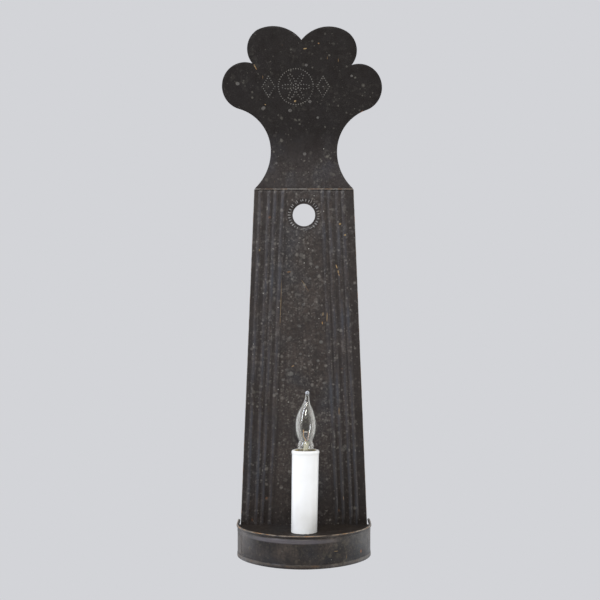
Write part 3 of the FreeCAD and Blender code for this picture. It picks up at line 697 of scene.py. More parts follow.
@dataclass
class Shell:
    """Points and faces of a mesh in the making.

    Each point has its wear, from 0 to 1 on rubbed edges, and its ridge, from -1 in a valley of grime
    and painted shade to 1 on a ridge that is rubbed and carries a painted sheen.
    """

    points: list[Triple] = field(default_factory=list)
    faces: list[tuple[int, ...]] = field(default_factory=list)
    wear: list[float] = field(default_factory=list)
    ridge: list[float] = field(default_factory=list)

    def add(self, x: float, y: float, z: float, wear: float = 0.0, ridge: float = 0.0) -> int:
        """Adds a point.

        Args:
            x: its place across.
            y: its place from back to front.
            z: its height.
            wear: how far it is rubbed bare.
            ridge: its painted sheen and rubbing above 0, its painted shade and grime below 0.

        Returns:
            Its number.
        """
        self.points.append((x, y, z))
        self.wear.append(wear)
        self.ridge.append(ridge)
        return len(self.points) - 1

    def strip(self, first: list[int], second: list[int]) -> None:
        """Joins two rings of as many points with four-sided faces.

        Args:
            first: the points of one ring.
            second: the points of the other.
        """
        for k in range(len(first)):
            after = (k + 1) % len(first)
            self.faces.append((first[k], first[after], second[after], second[k]))

    def skin(self, rings: list[list[int]], caps: bool = True) -> None:
        """Joins rings into a tube.

        Args:
            rings: the points of each ring, in order.
            caps: whether a face closes each end.
        """
        for first, second in zip(rings, rings[1:]):
            self.strip(first, second)
        if caps:
            self.faces += [tuple(rings[0][::-1]), tuple(rings[-1])]

    def turned(self, profile: list[tuple[float, ...]], x: float, y: float, steps: int,
               bend: Callable[[float], float] | None = None) -> list[list[int]]:
        """Adds a ring of points round an upright axis for each point of a profile.

        Args:
            profile: radius, height and, if wanted, wear of each point.
            x: the axis's place.
            y: the axis's place.
            steps: how many points a ring has.
            bend: gives how far the axis has moved sideways at a height.

        Returns:
            The points of each ring.
        """
        rings = []
        for radius, z, *wear in profile:
            middle = x + (bend(z) if bend else 0.0)
            rings.append([self.add(*polar(radius, a, middle, y), z, *wear) for a in around(steps)])
        return rings

    def mound(self, x: float, z: float, length: float, width: float, height: float,
              heading: float, front: Front) -> None:
        """Adds one small raised mark, such as a punched dot.

        Args:
            x: its place across.
            z: its height on the sheet.
            length: its length.
            width: its width.
            height: how far it stands out.
            heading: the angle of its length from the horizontal.
            front: gives the sheet's front at a place.
        """
        rings = []
        for share, rise in ((1.0, -0.12), (0.82, 0.45), (0.45, 0.88)):
            ring = []
            for a in around(10):
                along = length / 2 * share * math.cos(a)
                across = -width / 2 * share * math.sin(a)
                px = x + along * math.cos(heading) - across * math.sin(heading)
                pz = z + along * math.sin(heading) + across * math.cos(heading)
                ring.append(self.add(px, front(px, pz) - height * rise, pz, rise))
            rings.append(ring)
        self.skin(rings, False)
        top = self.add(x, front(x, z) - height, z, 1.0)
        last = rings[-1]
        self.faces += [(last[k - 1], last[k], top) for k in range(len(last))]
        self.faces.append(tuple(rings[0][::-1]))

    def make(self, name: str, *finishes: Finish) -> Piece:
        """Makes the object, in metres.

        Args:
            name: the piece's name.
            finishes: its finishes, the main one first.

        Returns:
            The new object.
        """
        mesh = bpy.data.meshes.new(name)
        mesh.from_pydata([[c * MM for c in p] for p in self.points], [], self.faces)
        for attribute, values in (("wear", self.wear), ("ridge", self.ridge)):
            mesh.attributes.new(attribute, "FLOAT", "POINT").data.foreach_set("value", values)
        for finish in finishes:
            mesh.materials.append(finish.material())
        piece = bpy.data.objects.new(name, mesh)
        bpy.context.scene.collection.objects.link(piece)
        return piece


def settle(piece: Piece, crease: float = 38) -> Piece:
    """Applies the piece's modifiers and shades it smooth between its creases.

    Args:
        piece: the piece.
        crease: the angle in degrees from which an edge stays sharp.

    Returns:
        The same piece.
    """
    depsgraph = bpy.context.evaluated_depsgraph_get()
    mesh = bpy.data.meshes.new_from_object(piece.evaluated_get(depsgraph))
    piece.modifiers.clear()
    piece.data = mesh
    mesh.shade_smooth()
    mesh.set_sharp_from_angle(angle=math.radians(crease))
    return piece


def break_edges(piece: Piece, width: float, segments: int) -> Piece:
    """Breaks the sharp edges of a piece.

    Args:
        piece: the piece.
        width: the width of its broken edges in millimetres.
        segments: how many faces each of them has.

    Returns:
        The same piece.
    """
    bevel = piece.modifiers.new("edges", "BEVEL")
    bevel.width = width * MM
    bevel.segments = segments
    bevel.limit_method = "ANGLE"
    bevel.angle_limit = math.radians(60)
    return piece


def thicken(piece: Piece, thickness: float, edge: float = 0.12) -> Piece:
    """Gives a sheet its thickness, behind its front, and breaks its edges.

    Args:
        piece: the sheet, whose second finish is that of its edges.
        thickness: the sheet's thickness in millimetres.
        edge: the width of its broken edges in millimetres.

    Returns:
        The same piece.
    """
    solid = piece.modifiers.new("thickness", "SOLIDIFY")
    solid.thickness = thickness * MM
    solid.offset = -1
    solid.use_even_offset = True
    solid.material_offset_rim = 1
    return break_edges(piece, edge, 2)


def place(piece: Piece, body: Body, slot: Slot, *stands_for: str) -> None:
    """Puts a finished piece on its body.

    Args:
        piece: the piece.
        body: the body it rides on.
        slot: the record's slot for its finish; not used.
        stands_for: the CAD nodes that it replaces.
    """
    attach(piece, body.value)
    if stands_for:
        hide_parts(*stands_for)
    log.info("%s rides on %s, %d faces", piece.name, body.value, len(piece.data.polygons))


@dataclass(frozen=True)
class Column:
    """One upright line of the plate's mesh.

    The side is -1 on the left, 1 on the right and 0 in the strip between the ribs. The inset is
    measured from that side's edge, or is the share of the strip's half. The y is set on the hems.
    """

    side: int
    inset: float
    y: float | None = None
    behind: bool = False


@dataclass
class BackPlate:
    """The tapered plate: fluted sides, folded hems, rolled head and the dished hanging hole."""

    top_z: float
    bottom_z: float
    bottom_width: float
    top_width: float = 86.5
    rib_first: float = 7.1
    rib_pitch: float = 6.4
    rib_count: int = 4
    rib_width: float = 4.4
    rib_height: float = 0.8
    strays_left: tuple[float, ...] = (-1.1, 0.0, -1.0, -0.8)
    strays_right: tuple[float, ...] = (2.0, 0.9, 1.2, 0.5)
    hem_width: float = 3.5
    hem_end_z: float = -262.0
    roll_radius: float = 0.85
    corner_clip: float = 1.6
    hole_radius: float = 9.75
    dish_flat_radius: float = 10.9
    dish_radius: float = 14.0
    patch_reach: float = 16.0
    entry_z: float = -280.4
    entry_radius: float = 4.8
    entry_reach: float = 8.0
    tick_count: int = 33
    tick_radius: float = 12.8
    tick_gap: Pair = (math.radians(255), math.radians(300))

    @classmethod
    def from_frame(cls) -> "BackPlate":
        """Takes the plate's height and widest width from the frame."""
        low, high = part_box("back_plate")
        return cls(high.z / MM, low.z / MM, 2 * high.x / MM)

    @property
    def slant(self) -> float:
        """The angle of the sides."""
        return math.atan((self.bottom_width - self.top_width) / 2 / (self.top_z - self.bottom_z))

    @property
    def fluted(self) -> float:
        """How far the ribs reach in from the edge."""
        return self.rib_first + (self.rib_count - 1) * self.rib_pitch + self.rib_width / 2

    def rib_at(self, k: int, right: bool) -> float:
        """Gives how far in from the edge a rib lies, a little off its pitch as drawn by hand."""
        strays = self.strays_right if right else self.strays_left
        return self.rib_first + k * self.rib_pitch + strays[k]

    def half_width(self, z: float) -> float:
        """Gives half the plate's width at a height."""
        return self.top_width / 2 + (self.top_z - z) * math.tan(self.slant)

    def inset(self, x: float, z: float) -> float:
        """Gives how far in from the nearer edge a place lies."""
        return (self.half_width(z) - abs(x)) * math.cos(self.slant)

    def front(self, x: float, z: float) -> float:
        """Gives the front of the sheet at a place.

        Args:
            x: the place across.
            z: the place's height.

        Returns:
            The front's y.
        """
        y = -SHEET
        inset = self.inset(x, z)
        fade = smooth(self.top_z - self.roll_radius, self.top_z - 3.5, z)
        for k in range(self.rib_count):
            side = k + (0.5 if x > 0 else 0)
            wander = 0.28 * ripple(20 * side, z, 26, 3.1)
            q = (inset - self.rib_at(k, x > 0) - wander) / (self.rib_width / 2)
            if abs(q) < 1:
                height = self.rib_height * (0.94 + 0.16 * ripple(20 * side, z, 14, 7.7))
                y -= height * fade * (1 - q * q) ** 1.25
        r = math.hypot(x, z)
        y += SHEET * (1 - smooth(self.dish_flat_radius, self.dish_radius, r))
        open_field = smooth(self.dish_radius, self.dish_radius + 8, r) * smooth(2, 8, inset)
        dents = 0.16 * ripple(x, z, 34, 1.3) + 0.05 * ripple(x, z, 11, 5.9)
        return y - open_field * fade * (dents + 0.1)

    def ridge(self, x: float, z: float) -> float:
        """Gives how pale or dark the sheet is painted: ribs are rubbed and carry a painted sheen, and
        grime with painted shade lies between them and in the dish round the hanging hole.

        Args:
            x: the place across.
            z: the place's height.

        Returns:
            From -1 in a valley of grime and painted shade to 1 on a rib.
        """
        r = math.hypot(x, z)
        # painted shade in the dish round the hanging hole
        if r < self.dish_radius + 1.5:
            return -smooth(self.dish_radius + 1.5, self.dish_radius, r)
        inset = self.inset(x, z)
        centres = [self.rib_at(k, x > 0) for k in range(self.rib_count)]
        q = min((inset - centre for centre in centres), key=abs) / (self.rib_width / 2)
        handling_and_light = 0.65 + 0.9 * ripple(x, z, 24, 6.6) + 0.4 * ripple(x, z, 7, 3.7)
        grime_and_shade = (0.8 + 0.4 * ripple(x, z, 17, 2.9)) * smooth(self.fluted + 2.5, self.fluted, inset)
        if abs(q) < 0.6:
            return handling_and_light * (1 - (q / 0.6) ** 2)
        return -grime_and_shade * smooth(0.6, 1.1, abs(q))

    def columns(self) -> list[Column]:
        """Lists the mesh's columns from the left hem to the right hem.

        Returns:
            The columns.
        """
        right_half = [0.17, 0.34, 0.52, 0.7, 0.85, 0.97, 1.1]
        shares = [-share for share in right_half[::-1]] + [0.0] + right_half
        sides = []
        for side in (-1, 1):
            hem = [Column(side, inset, SHEET, True) for inset in (self.hem_width, 2.0, SHEET)]
            for degrees in (60, 30, 0, -30, -60):
                away, y = polar(SHEET, math.radians(degrees))
                hem.append(Column(side, SHEET - away, y, degrees > 0))
            ribs = [
                Column(side, self.rib_at(k, side > 0) + share * self.rib_width / 2)
                for k in range(self.rib_count)
                for share in shares
            ]
            flat = [
                Column(side, inset) for inset in (SHEET, 1.6, 2.7, 4.0, 5.2, 6.3)
                if inset < ribs[0].inset - 0.2
            ]
            sides.append(hem + flat + ribs)
        middle = [Column(0, share) for share in spread(-1, 1, 1 / 17)]
        return sides[0] + middle[1:-1] + sides[1][::-1]

    def rows(self) -> list[float]:
        """Lists the heights of the mesh's rows, closer together round the two holes.

        Returns:
            The heights, from the foot up.
        """
        low, high = self.entry_z - self.entry_reach, self.entry_z + self.entry_reach
        rows = [self.bottom_z]
        for end, step in (
            (low, 2), (high, 1.6), (self.hem_end_z, 2.6), (-self.patch_reach, 2.6),
            (self.patch_reach, 0.8), (self.top_z - self.roll_radius, 1),
        ):
            rows += spread(rows[-1], end, step)[1:]
        return rows

    def at(self, column: Column, z: float) -> Pair:
        """Gives where a column is at a height.

        Args:
            column: the column.
            z: the height.

        Returns:
            Its x and its y.
        """
        half = self.half_width(z)
        if column.side:
            x = (half - column.inset / math.cos(self.slant)) * column.side
        else:
            x = column.inset * (half - (self.fluted + 0.9) / math.cos(self.slant))
        return x, self.front(x, z) if column.y is None else column.y

    def punch(self, shell: Shell, grid: list[list[int]], patch: tuple[int, ...], z: float,
              radii: list[float]) -> None:
        """Fills a rectangle of the grid with rings round a hole.

        Args:
            shell: the mesh in the making.
            grid: the numbers of its points, by row and column.
            patch: the first and last row of the rectangle, and its first and last column.
            z: the hole's height.
            radii: the rings' radii, the hole's own last.
        """
        low, high, left, right = patch
        loop = [grid[low][j] for j in range(left, right)]
        loop += [grid[k][right] for k in range(low, high)]
        loop += [grid[high][j] for j in range(right, left, -1)]
        loop += [grid[k][left] for k in range(high, low, -1)]
        outer = [(shell.points[i][0], shell.points[i][2] - z) for i in loop]
        blended = [(radii[0], 0.35), (radii[0], 0.7)]
        for radius, share in blended + [(radius, 1.0) for radius in radii]:
            ring = []
            for x, dz in outer:
                reach = math.hypot(x, dz)
                scale = 1 + (radius / reach - 1) * share
                px, pz = x * scale, z + dz * scale
                ring.append(shell.add(px, self.front(px, pz), pz, 0.0, self.ridge(px, pz)))
            shell.strip(loop, ring)
            loop = ring

    def sheet(self) -> Piece:
        """Builds the plate's sheet, with its hems folded behind it.

        Returns:
            The piece.
        """
        shell = Shell()
        columns = self.columns()
        rows = self.rows()
        grid = []
        for z in rows:
            grid.append([])
            for column in columns:
                x, y = self.at(column, z)
                wear = 0.75 if column.y is not None and not column.behind else 0.0
                grid[-1].append(shell.add(x, y, z, wear, self.ridge(x, z)))
        middle = [j for j, column in enumerate(columns) if not column.side]
        centre = middle[len(middle) // 2]
        hang, entry = (
            (rows.index(z - reach), rows.index(z + reach), left, right)
            for z, reach, left, right in (
                (0.0, self.patch_reach, middle[0] - 1, middle[-1] + 1),
                (self.entry_z, self.entry_reach, centre - 6, centre + 6),
            )
        )
        for k, (first, second) in enumerate(zip(grid, grid[1:])):
            for j in range(len(columns) - 1):
                cut = rows[k] < self.hem_end_z and (columns[j].behind or columns[j + 1].behind)
                for low, high, left, right in (hang, entry):
                    cut = cut or (low <= k < high and left <= j < right)
                if not cut:
                    shell.faces.append((first[j], first[j + 1], second[j + 1], second[j]))
        dish = spread(self.dish_radius, self.dish_flat_radius, 0.5)
        self.punch(shell, grid, hang, 0.0, [14.4] + dish + [10.3, self.hole_radius])
        self.punch(shell, grid, entry, self.entry_z, [6.4, self.entry_radius])
        plate = shell.make("plate_sheet", TIN, EDGE)
        tidy = bmesh.new()
        tidy.from_mesh(plate.data)
        loose = [v for v in tidy.verts if not v.link_faces]
        bmesh.ops.delete(tidy, geom=loose, context="VERTS")
        tidy.to_mesh(plate.data)
        tidy.free()
        return settle(thicken(plate, SHEET * 0.98, 0.1))

    def head_roll(self) -> Piece:
        """Builds the rolled head, a little uneven along its length and pinched at its ends.

        Returns:
            The piece.
        """
        shell = Shell()
        half = self.half_width(self.top_z)
        rings = []
        for x in spread(-half, half, 1.3):
            pinch = 1 - 0.55 * smooth(half - self.corner_clip, half, abs(x))
            radius = self.roll_radius * pinch * (0.93 + 0.1 * ripple(x, 0, 9, 2.2))
            proud = min(1.0, 0.62 + 0.7 * ripple(x, 3, 13, 8.2))
            rubbed = 0.65 + 0.5 * ripple(x, 4, 12, 5.5)
            centre_z = self.top_z - self.roll_radius * (2 - pinch)
            ring = []
            for a in around(14):
                out, up = math.cos(a), math.sin(a)
                y = -radius - radius * out * (proud if out > 0 else 1.0)
                worn = rubbed * smooth(-0.5, 0.4, up) * smooth(-0.3, 0.2, out)
                ring.append(shell.add(x, y, centre_z + radius * up, worn))
            rings.append(ring)
        shell.skin(rings[::-1])
        return settle(shell.make("plate_head_roll", HEAD_TIN))

    def ticks(self) -> Piece:
        """Builds the crimped ticks round the hanging hole, no two alike, and long marks below.

        Returns:
            The piece.
        """
        shell = Shell()
        for k in range(self.tick_count):
            jitter = ripple(k * 3.7, 1.9, 1, 4.4)
            heading = FULL_TURN * (k + 0.5) / self.tick_count + 0.09 * jitter
            if self.tick_gap[0] < heading < self.tick_gap[1]:
                continue
            length = 3.2 + 1.4 * ripple(k * 2.3, 8.1, 1, 6.2)
            low_side = 0.5 - 0.5 * math.sin(heading)
            shell.mound(
                *polar(self.tick_radius + 0.4 * jitter, heading), length,
                1.15 + 0.5 * low_side + 0.4 * jitter, 0.4 + 0.25 * low_side, heading, self.front,
            )
        for degrees, r in ((262, 13.0), (280, 13.2), (297, 12.9), (272, 11.6), (289, 11.7)):
            a = math.radians(degrees)
            shell.mound(*polar(r, a), 4.4, 1.0, 0.6, a + RIGHT_ANGLE, self.front)
        return settle(shell.make("hanging_hole_ticks", TICK_TIN), 60)

    def build(self) -> None:
        """Builds the plate and places its pieces."""
        place(self.sheet(), Body.SCONCE, Slot.TIN, "back_plate")
        place(self.head_roll(), Body.SCONCE, Slot.TIN)
        place(self.ticks(), Body.SCONCE, Slot.TIN)


@dataclass
class Crest:
    """The crest: four round lobes on a throat, leaning a little forward."""

    foot_z: float
    foot_half_width: float = 42.85
    throat_half_width: float = 28.85
    neck_radius: float = 37.0
    lower_lobe: Triple = (49.0, 110.5, 20.0)
    upper_lobe: Triple = (28.5, 141.5, 18.6)
    centre_notch: Pair = (-2.2, 149.0)
    crown_radii: Pair = (31.6, 30.5)
    crown_start: float = math.radians(58)
    lobe_shift: float = 1.7
    right_drop: float = 1.4
    lap: float = 8.0
    lap_half_width: float = 39.35
    bend_start_z: float = 37.5
    bend_radius: float = 184.0
    lean: float = math.radians(10)
    slit_length: float = 5.0
    slit_width: float = 0.35
    worn_rim: float = 0.7
    motif: Pair = (-7.0, 110.0)
    rosette_radius: float = 15.0
    rosette_pitch: float = 2.15
    lozenge_x: float = 23.5
    lozenge: Pair = (5.4, 8.6)

    def front(self, x: float, z: float) -> float:
        """Gives the front of the crest at a place: upright, then bent forward, then leaning.

        Args:
            x: the place across.
            z: the place's height.

        Returns:
            The front's y.
        """
        rise = max(0.0, z - self.bend_start_z)
        bend_rise = self.bend_radius * math.sin(self.lean)
        if rise < bend_rise:
            y = math.sqrt(self.bend_radius ** 2 - rise ** 2) - self.bend_radius
        else:
            y = self.bend_radius * (math.cos(self.lean) - 1)
            y -= (rise - bend_rise) * math.tan(self.lean)
        worked = smooth(30, 52, z)
        dents = 0.5 * ripple(x, z, 48, 2.6) + 0.12 * ripple(x, z, 17, 9.4)
        return y - worked * (dents + 0.3)

    def arc(self, centre: Pair, start: Pair, end: Pair, clockwise: bool) -> list[Pair]:
        """Samples an arc.

        Args:
            centre: its centre.
            start: its first point.
            end: its last point.
            clockwise: which way round it goes.

        Returns:
            Its points, without the last.
        """
        radius = math.dist(centre, start)
        first = math.atan2(start[1] - centre[1], start[0] - centre[0])
        last = math.atan2(end[1] - centre[1], end[0] - centre[0])
        sweep = (last - first) % FULL_TURN - (FULL_TURN if clockwise else 0)
        count = max(2, round(abs(sweep) * radius / 1.1))
        return [polar(radius, first + sweep * k / count, *centre) for k in range(count)]

    def right_side(self, drop: float, shift: float, crown: float) -> list[Pair]:
        """Samples the right half of the outline, from the foot up to the centre notch.

        Args:
            drop: how much lower this side's lobes are.
            shift: how far the lobes are moved to the right.
            crown: the radius that the top is rounded off with towards the centre notch.

        Returns:
            The points.
        """
        low_x, low_z, low_r = self.lower_lobe
        top_x, top_z, top_r = self.upper_lobe
        low_x, low_z, top_x, top_z = low_x + shift, low_z - drop, top_x + shift, top_z - drop
        neck_x = self.throat_half_width + self.neck_radius
        neck_z = low_z - math.sqrt((self.neck_radius + low_r) ** 2 - (neck_x - low_x) ** 2)
        flare = self.foot_half_width - self.throat_half_width
        foot_r = (flare ** 2 + (neck_z - self.foot_z) ** 2) / (2 * flare)
        throat = (self.throat_half_width, neck_z)
        share = self.neck_radius / (self.neck_radius + low_r)
        join = (neck_x + (low_x - neck_x) * share, neck_z + (low_z - neck_z) * share)
        gap = math.dist((low_x, low_z), (top_x, top_z))
        along = (low_r ** 2 - top_r ** 2 + gap ** 2) / (2 * gap)
        out = math.sqrt(low_r ** 2 - along ** 2)
        ux, uz = (top_x - low_x) / gap, (top_z - low_z) / gap
        notch = (low_x + along * ux + out * uz, low_z + along * uz - out * ux)
        start = polar(top_r, self.crown_start, top_x, top_z)
        middle = (math.copysign(self.centre_notch[0], shift), self.centre_notch[1])
        chord = (middle[0] - start[0], middle[1] - start[1])
        half = math.hypot(*chord) / 2
        depth = math.sqrt(crown ** 2 - half ** 2) / (2 * half)
        centre = (
            start[0] + chord[0] / 2 - chord[1] * depth, start[1] + chord[1] / 2 + chord[0] * depth,
        )
        foot = (self.foot_half_width, self.foot_z)
        points = self.arc((self.throat_half_width + foot_r, neck_z), foot, throat, True)
        points += self.arc((neck_x, neck_z), throat, join, True)
        points += self.arc((low_x, low_z), join, notch, False)
        points += self.arc((top_x, top_z), notch, start, False)
        return points + self.arc(centre, start, middle, False)

    def outline(self) -> list[Pair]:
        """Closes both halves of the outline over the lap, with a small slit at the left notch.

        Returns:
            The outline's points, anticlockwise as seen from the front.
        """
        right = self.right_side(self.right_drop, -self.lobe_shift, self.crown_radii[1])
        left = self.right_side(0.0, self.lobe_shift, self.crown_radii[0])
        notch_at = min(
            range(len(left) // 2, len(left) - 8),
            key=lambda k: left[k][0] if left[k][1] > self.lower_lobe[1] + 8 else math.inf,
        )
        nx, nz = left[notch_at]
        tip = (nx - self.slit_length * 0.55, nz - self.slit_length * 0.83)
        left[notch_at + 1:notch_at + 1] = [tip, (nx + self.slit_width * 0.3, nz + self.slit_width)]
        lap_z = self.foot_z - self.lap
        lap = [
            (-self.lap_half_width, self.foot_z), (-self.lap_half_width, lap_z),
            (self.lap_half_width, lap_z), (self.lap_half_width, self.foot_z),
        ]
        return right + [self.centre_notch] + [(-x, z) for x, z in reversed(left)] + lap

    def sheet(self) -> Piece:
        """Cuts the outline into a fine grid, bends it and gives it its thickness.

        Returns:
            The piece.
        """
        outline = self.outline()
        shape = bmesh.new()
        worn = shape.verts.layers.float.new("wear")
        shape.faces.new([shape.verts.new((x, 0, z)) for x, z in outline])
        rim = set(shape.verts)
        bmesh.ops.inset_region(
            shape, faces=shape.faces[:], thickness=self.worn_rim, use_even_offset=True
        )
        for vert in shape.verts:
            vert[worn] = 0.0 if vert in rim else 0.5
        for axis, values in ((0, [x for x, _ in outline]), (2, [z for _, z in outline])):
            for value in spread(min(values), max(values), 3)[1:-1]:
                spot = [0.0, 0.0, 0.0]
                normal = [0.0, 0.0, 0.0]
                spot[axis] = value + 0.013
                normal[axis] = 1.0
                bmesh.ops.bisect_plane(
                    shape, geom=shape.verts[:] + shape.edges[:] + shape.faces[:],
                    plane_co=spot, plane_no=normal,
                )
        shell = Shell()
        for vert in shape.verts:
            shell.add(vert.co.x, self.front(vert.co.x, vert.co.z), vert.co.z, vert[worn])
        shape.verts.index_update()
        shell.faces = [tuple(v.index for v in face.verts) for face in shape.faces]
        shape.free()
        return settle(thicken(shell.make("crest_sheet", CREST_TIN, EDGE), SHEET))

    def motif_dots(self) -> list[Pair]:
        """Lays out a traditional six-petal rosette in its circle, with a lozenge at each side.

        Returns:
            The places of the dots.
        """
        radius = self.rosette_radius
        dots = [polar(radius, a) for a in around(round(FULL_TURN * radius / self.rosette_pitch))]
        petal = radius * 0.9
        for a in around(6):
            for share in spread(-1, 1, 2 / 12)[1:-1]:
                if abs(share) > 0.12:
                    dots.append(polar(petal, a + math.pi + share * FULL_TURN / 6, *polar(petal, a)))
        dots.append((0.0, 0.0))
        wide, high = self.lozenge
        corners = [(0, high), (wide, 0), (0, -high), (-wide, 0), (0, high)]
        for middle in (-self.lozenge_x, self.lozenge_x):
            for (x0, z0), (x1, z1) in zip(corners, corners[1:]):
                for share in (0, 0.2, 0.4, 0.6, 0.8):
                    dots.append((middle + x0 + (x1 - x0) * share, z0 + (z1 - z0) * share))
            dots.append((middle, 0))
        return [(self.motif[0] + x, self.motif[1] + z) for x, z in dots]

    def punched_motif(self) -> Piece:
        """Builds the punched dots of the motif.

        Returns:
            The piece.
        """
        shell = Shell()
        for x, z in self.motif_dots():
            size = 1.2 + 0.3 * ripple(x * 9, z * 9, 5, 3.3)
            shell.mound(x, z, size, size, 0.22, 0.0, self.front)
        return settle(shell.make("crest_punched_motif", WORN_TIN), 60)

    def build(self) -> None:
        """Builds the crest and places its pieces."""
        place(self.sheet(), Body.SCONCE, Slot.TIN, "crest_plate")
        place(self.punched_motif(), Body.SCONCE, Slot.TIN)


@dataclass
class Tray:
    """The half-round tray: wired rim, beaded band, turned-up bottom and the flanges behind."""

    rim_z: float
    bottom_z: float
    radius: float = 56.6
    arc_y: float = -20.0
    wall_y: float = 0.5
    roll_radius: float = 1.15
    wire_hollow: float = 0.65
    wire_radius: float = 0.6
    bead_z: float = -269.0
    bead_width: float = 3.7
    bead_height: float = 0.5
    sag: float = 0.75
    tilt: float = 0.5
    seam_gap: float = 0.05
    seam_thickness: float = 0.32
    seam_height: float = 3.5
    seam_round: float = 0.38
    flange_width: float = 10.0
    flange_top: float = -272.6
    flange_bottom: float = -289.8
    flange_corner: float = 3.0
    lap_stretch: Pair = (0.845, 0.905)

    @classmethod
    def from_frame(cls) -> "Tray":
        """Takes the rim's and the band's heights from the frame."""
        low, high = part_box("tray_band")
        return cls(high.z / MM, low.z / MM)

    @property
    def middle_radius(self) -> float:
        """The radius of the middle of the sheet, and so of the rolled rim."""
        return self.radius - SHEET / 2

    @property
    def roll_z(self) -> float:
        """The height of the middle of the rolled rim."""
        return self.rim_z - self.roll_radius

    def pressed(self, nx: float) -> float:
        """Gives how far the bead stands out, which also scales its painted highlight: it has been
        flattened at both ends.
        """
        return (0.25 + 0.75 * smooth(-0.88, -0.55, nx)) * (0.2 + 0.8 * smooth(0.6, 0.05, nx))

    def hang(self, nx: float, ny: float, z: float) -> float:
        """Gives how far the tray is out of true: its front sags, its right end is a little high.

        Args:
            nx: the wall's outward direction across.
            ny: the wall's outward direction from back to front.
            z: the height, because the stiff rim sags less.

        Returns:
            The change in height.
        """
        free = 1 - 0.85 * smooth(self.bead_z, self.rim_z - 2 * self.roll_radius, z)
        return self.tilt * max(0.0, nx) - self.sag * free * max(0.0, -ny) ** 3

    def front(self, x: float, z: float) -> float:
        """Gives the front of the band at a place, the same at every height."""
        return self.arc_y - math.sqrt(self.radius ** 2 - x ** 2)

    def stations(self) -> list[Triple]:
        """Lists the path of the wall: along the right side, round the front, back on the left.

        Returns:
            For each station the direction outwards and the y it starts from.
        """
        side = spread(self.wall_y, self.arc_y, 3.4)[:-1]
        front = [(math.cos(a), -math.sin(a), self.arc_y) for a in spread(0, math.pi, math.pi / 110)]
        return [(1.0, 0.0, y) for y in side] + front + [(-1.0, 0.0, y) for y in reversed(side)]

    def swept(self, shell: Shell, profile: list[tuple[float, ...]], waves: float = 0.0,
              part: Pair = (0.0, 1.0)) -> list[list[int]]:
        """Carries a profile along the wall's path, flattening its bead and fading its painted highlight
        towards both ends.

        Args:
            shell: the mesh in the making.
            profile: radius, height and, if wanted, wear and ridge of each point.
            waves: how far its height waves along the path.
            part: the share of the path that is used.

        Returns:
            The points of the profile at each station.
        """
        path = self.stations()
        path = path[round(part[0] * (len(path) - 1)):round(part[1] * (len(path) - 1)) + 1]
        rings = []
        for nx, ny, y in path:
            wave = waves * ripple(60 * nx, 60 * ny + y, 22, 8.8)
            rings.append([])
            for point in profile:
                r, z, wear, ridge = (*point, 0.0, 0.0)[:4]
                # the bead's painted highlight fades as the bead flattens towards both ends
                if ridge > 0:
                    r -= self.bead_height * ridge * (1 - self.pressed(nx))
                    ridge *= self.pressed(nx)
                height = z + self.hang(nx, ny, z) + wave
                rings[-1].append(shell.add(nx * r, y + ny * r, height, wear, ridge))
        return rings

    def band(self) -> Piece:
        """Builds the band with its bead, its rolled rim and its flanges.

        Returns:
            The piece.
        """
        shell = Shell()
        outer, inner = self.radius, self.radius - SHEET
        wall_top = self.roll_z - 0.4
        bead = [(1 - t ** 4, self.bead_z + self.bead_width / 2 * t) for t in spread(-1, 1, 0.2)]
        wall = [(outer, self.bottom_z)]
        # the bead's crown takes the paler ridge colour: a painted highlight
        wall += [(outer + self.bead_height * out, z, 0.0, out) for out, z in bead]
        # painted shadow under the rolled rim: the band between the bead and the rim takes the valley
        # colour
        wall += [(outer, bead[-1][1] + 0.4, 0.0, -0.9), (outer, wall_top, 0.0, -1.0), (inner, wall_top)]
        wall += [(inner + self.bead_height * out, z) for out, z in reversed(bead)]
        wall.append((inner, self.bottom_z))
        shell.skin(self.swept(shell, wall))
        roll = [
            (*polar(self.roll_radius, a, self.middle_radius, self.roll_z),
             smooth(0.88, 1.0, math.cos(a - math.radians(48))))
            for a in around(20)
        ]
        hollow = [
            polar(self.wire_hollow, a, self.middle_radius, self.roll_z) for a in around(20)
        ]
        outside, inside = (self.swept(shell, circle, 0.12) for circle in (roll, hollow))
        shell.skin(outside + inside[::-1] + outside[:1], False)
        for side in (-1, 1):
            self.flange(shell, side, inner)
        band = shell.make("tray_band_rolled", TRAY_TIN)
        return settle(break_edges(band, 0.08, 1), 50)

    def flange(self, shell: Shell, side: int, inner: float) -> None:
        """Adds the flange that turns in behind the plate at one side.

        Args:
            shell: the mesh in the making.
            side: -1 on the left, 1 on the right.
            inner: how far out its root is.
        """
        tip = inner - self.flange_width
        corner = self.flange_corner
        outline = [
            (inner, self.flange_bottom), (inner, self.flange_top),
            (tip + corner, self.flange_top), (tip, self.flange_top - corner),
            (tip, self.flange_bottom + corner), (tip + corner, self.flange_bottom),
        ]
        back, front = (
            [shell.add(side * x, y, z) for x, z in outline] for y in (self.wall_y, self.wall_y - SHEET)
        )
        shell.skin([back, front] if side > 0 else [front, back])

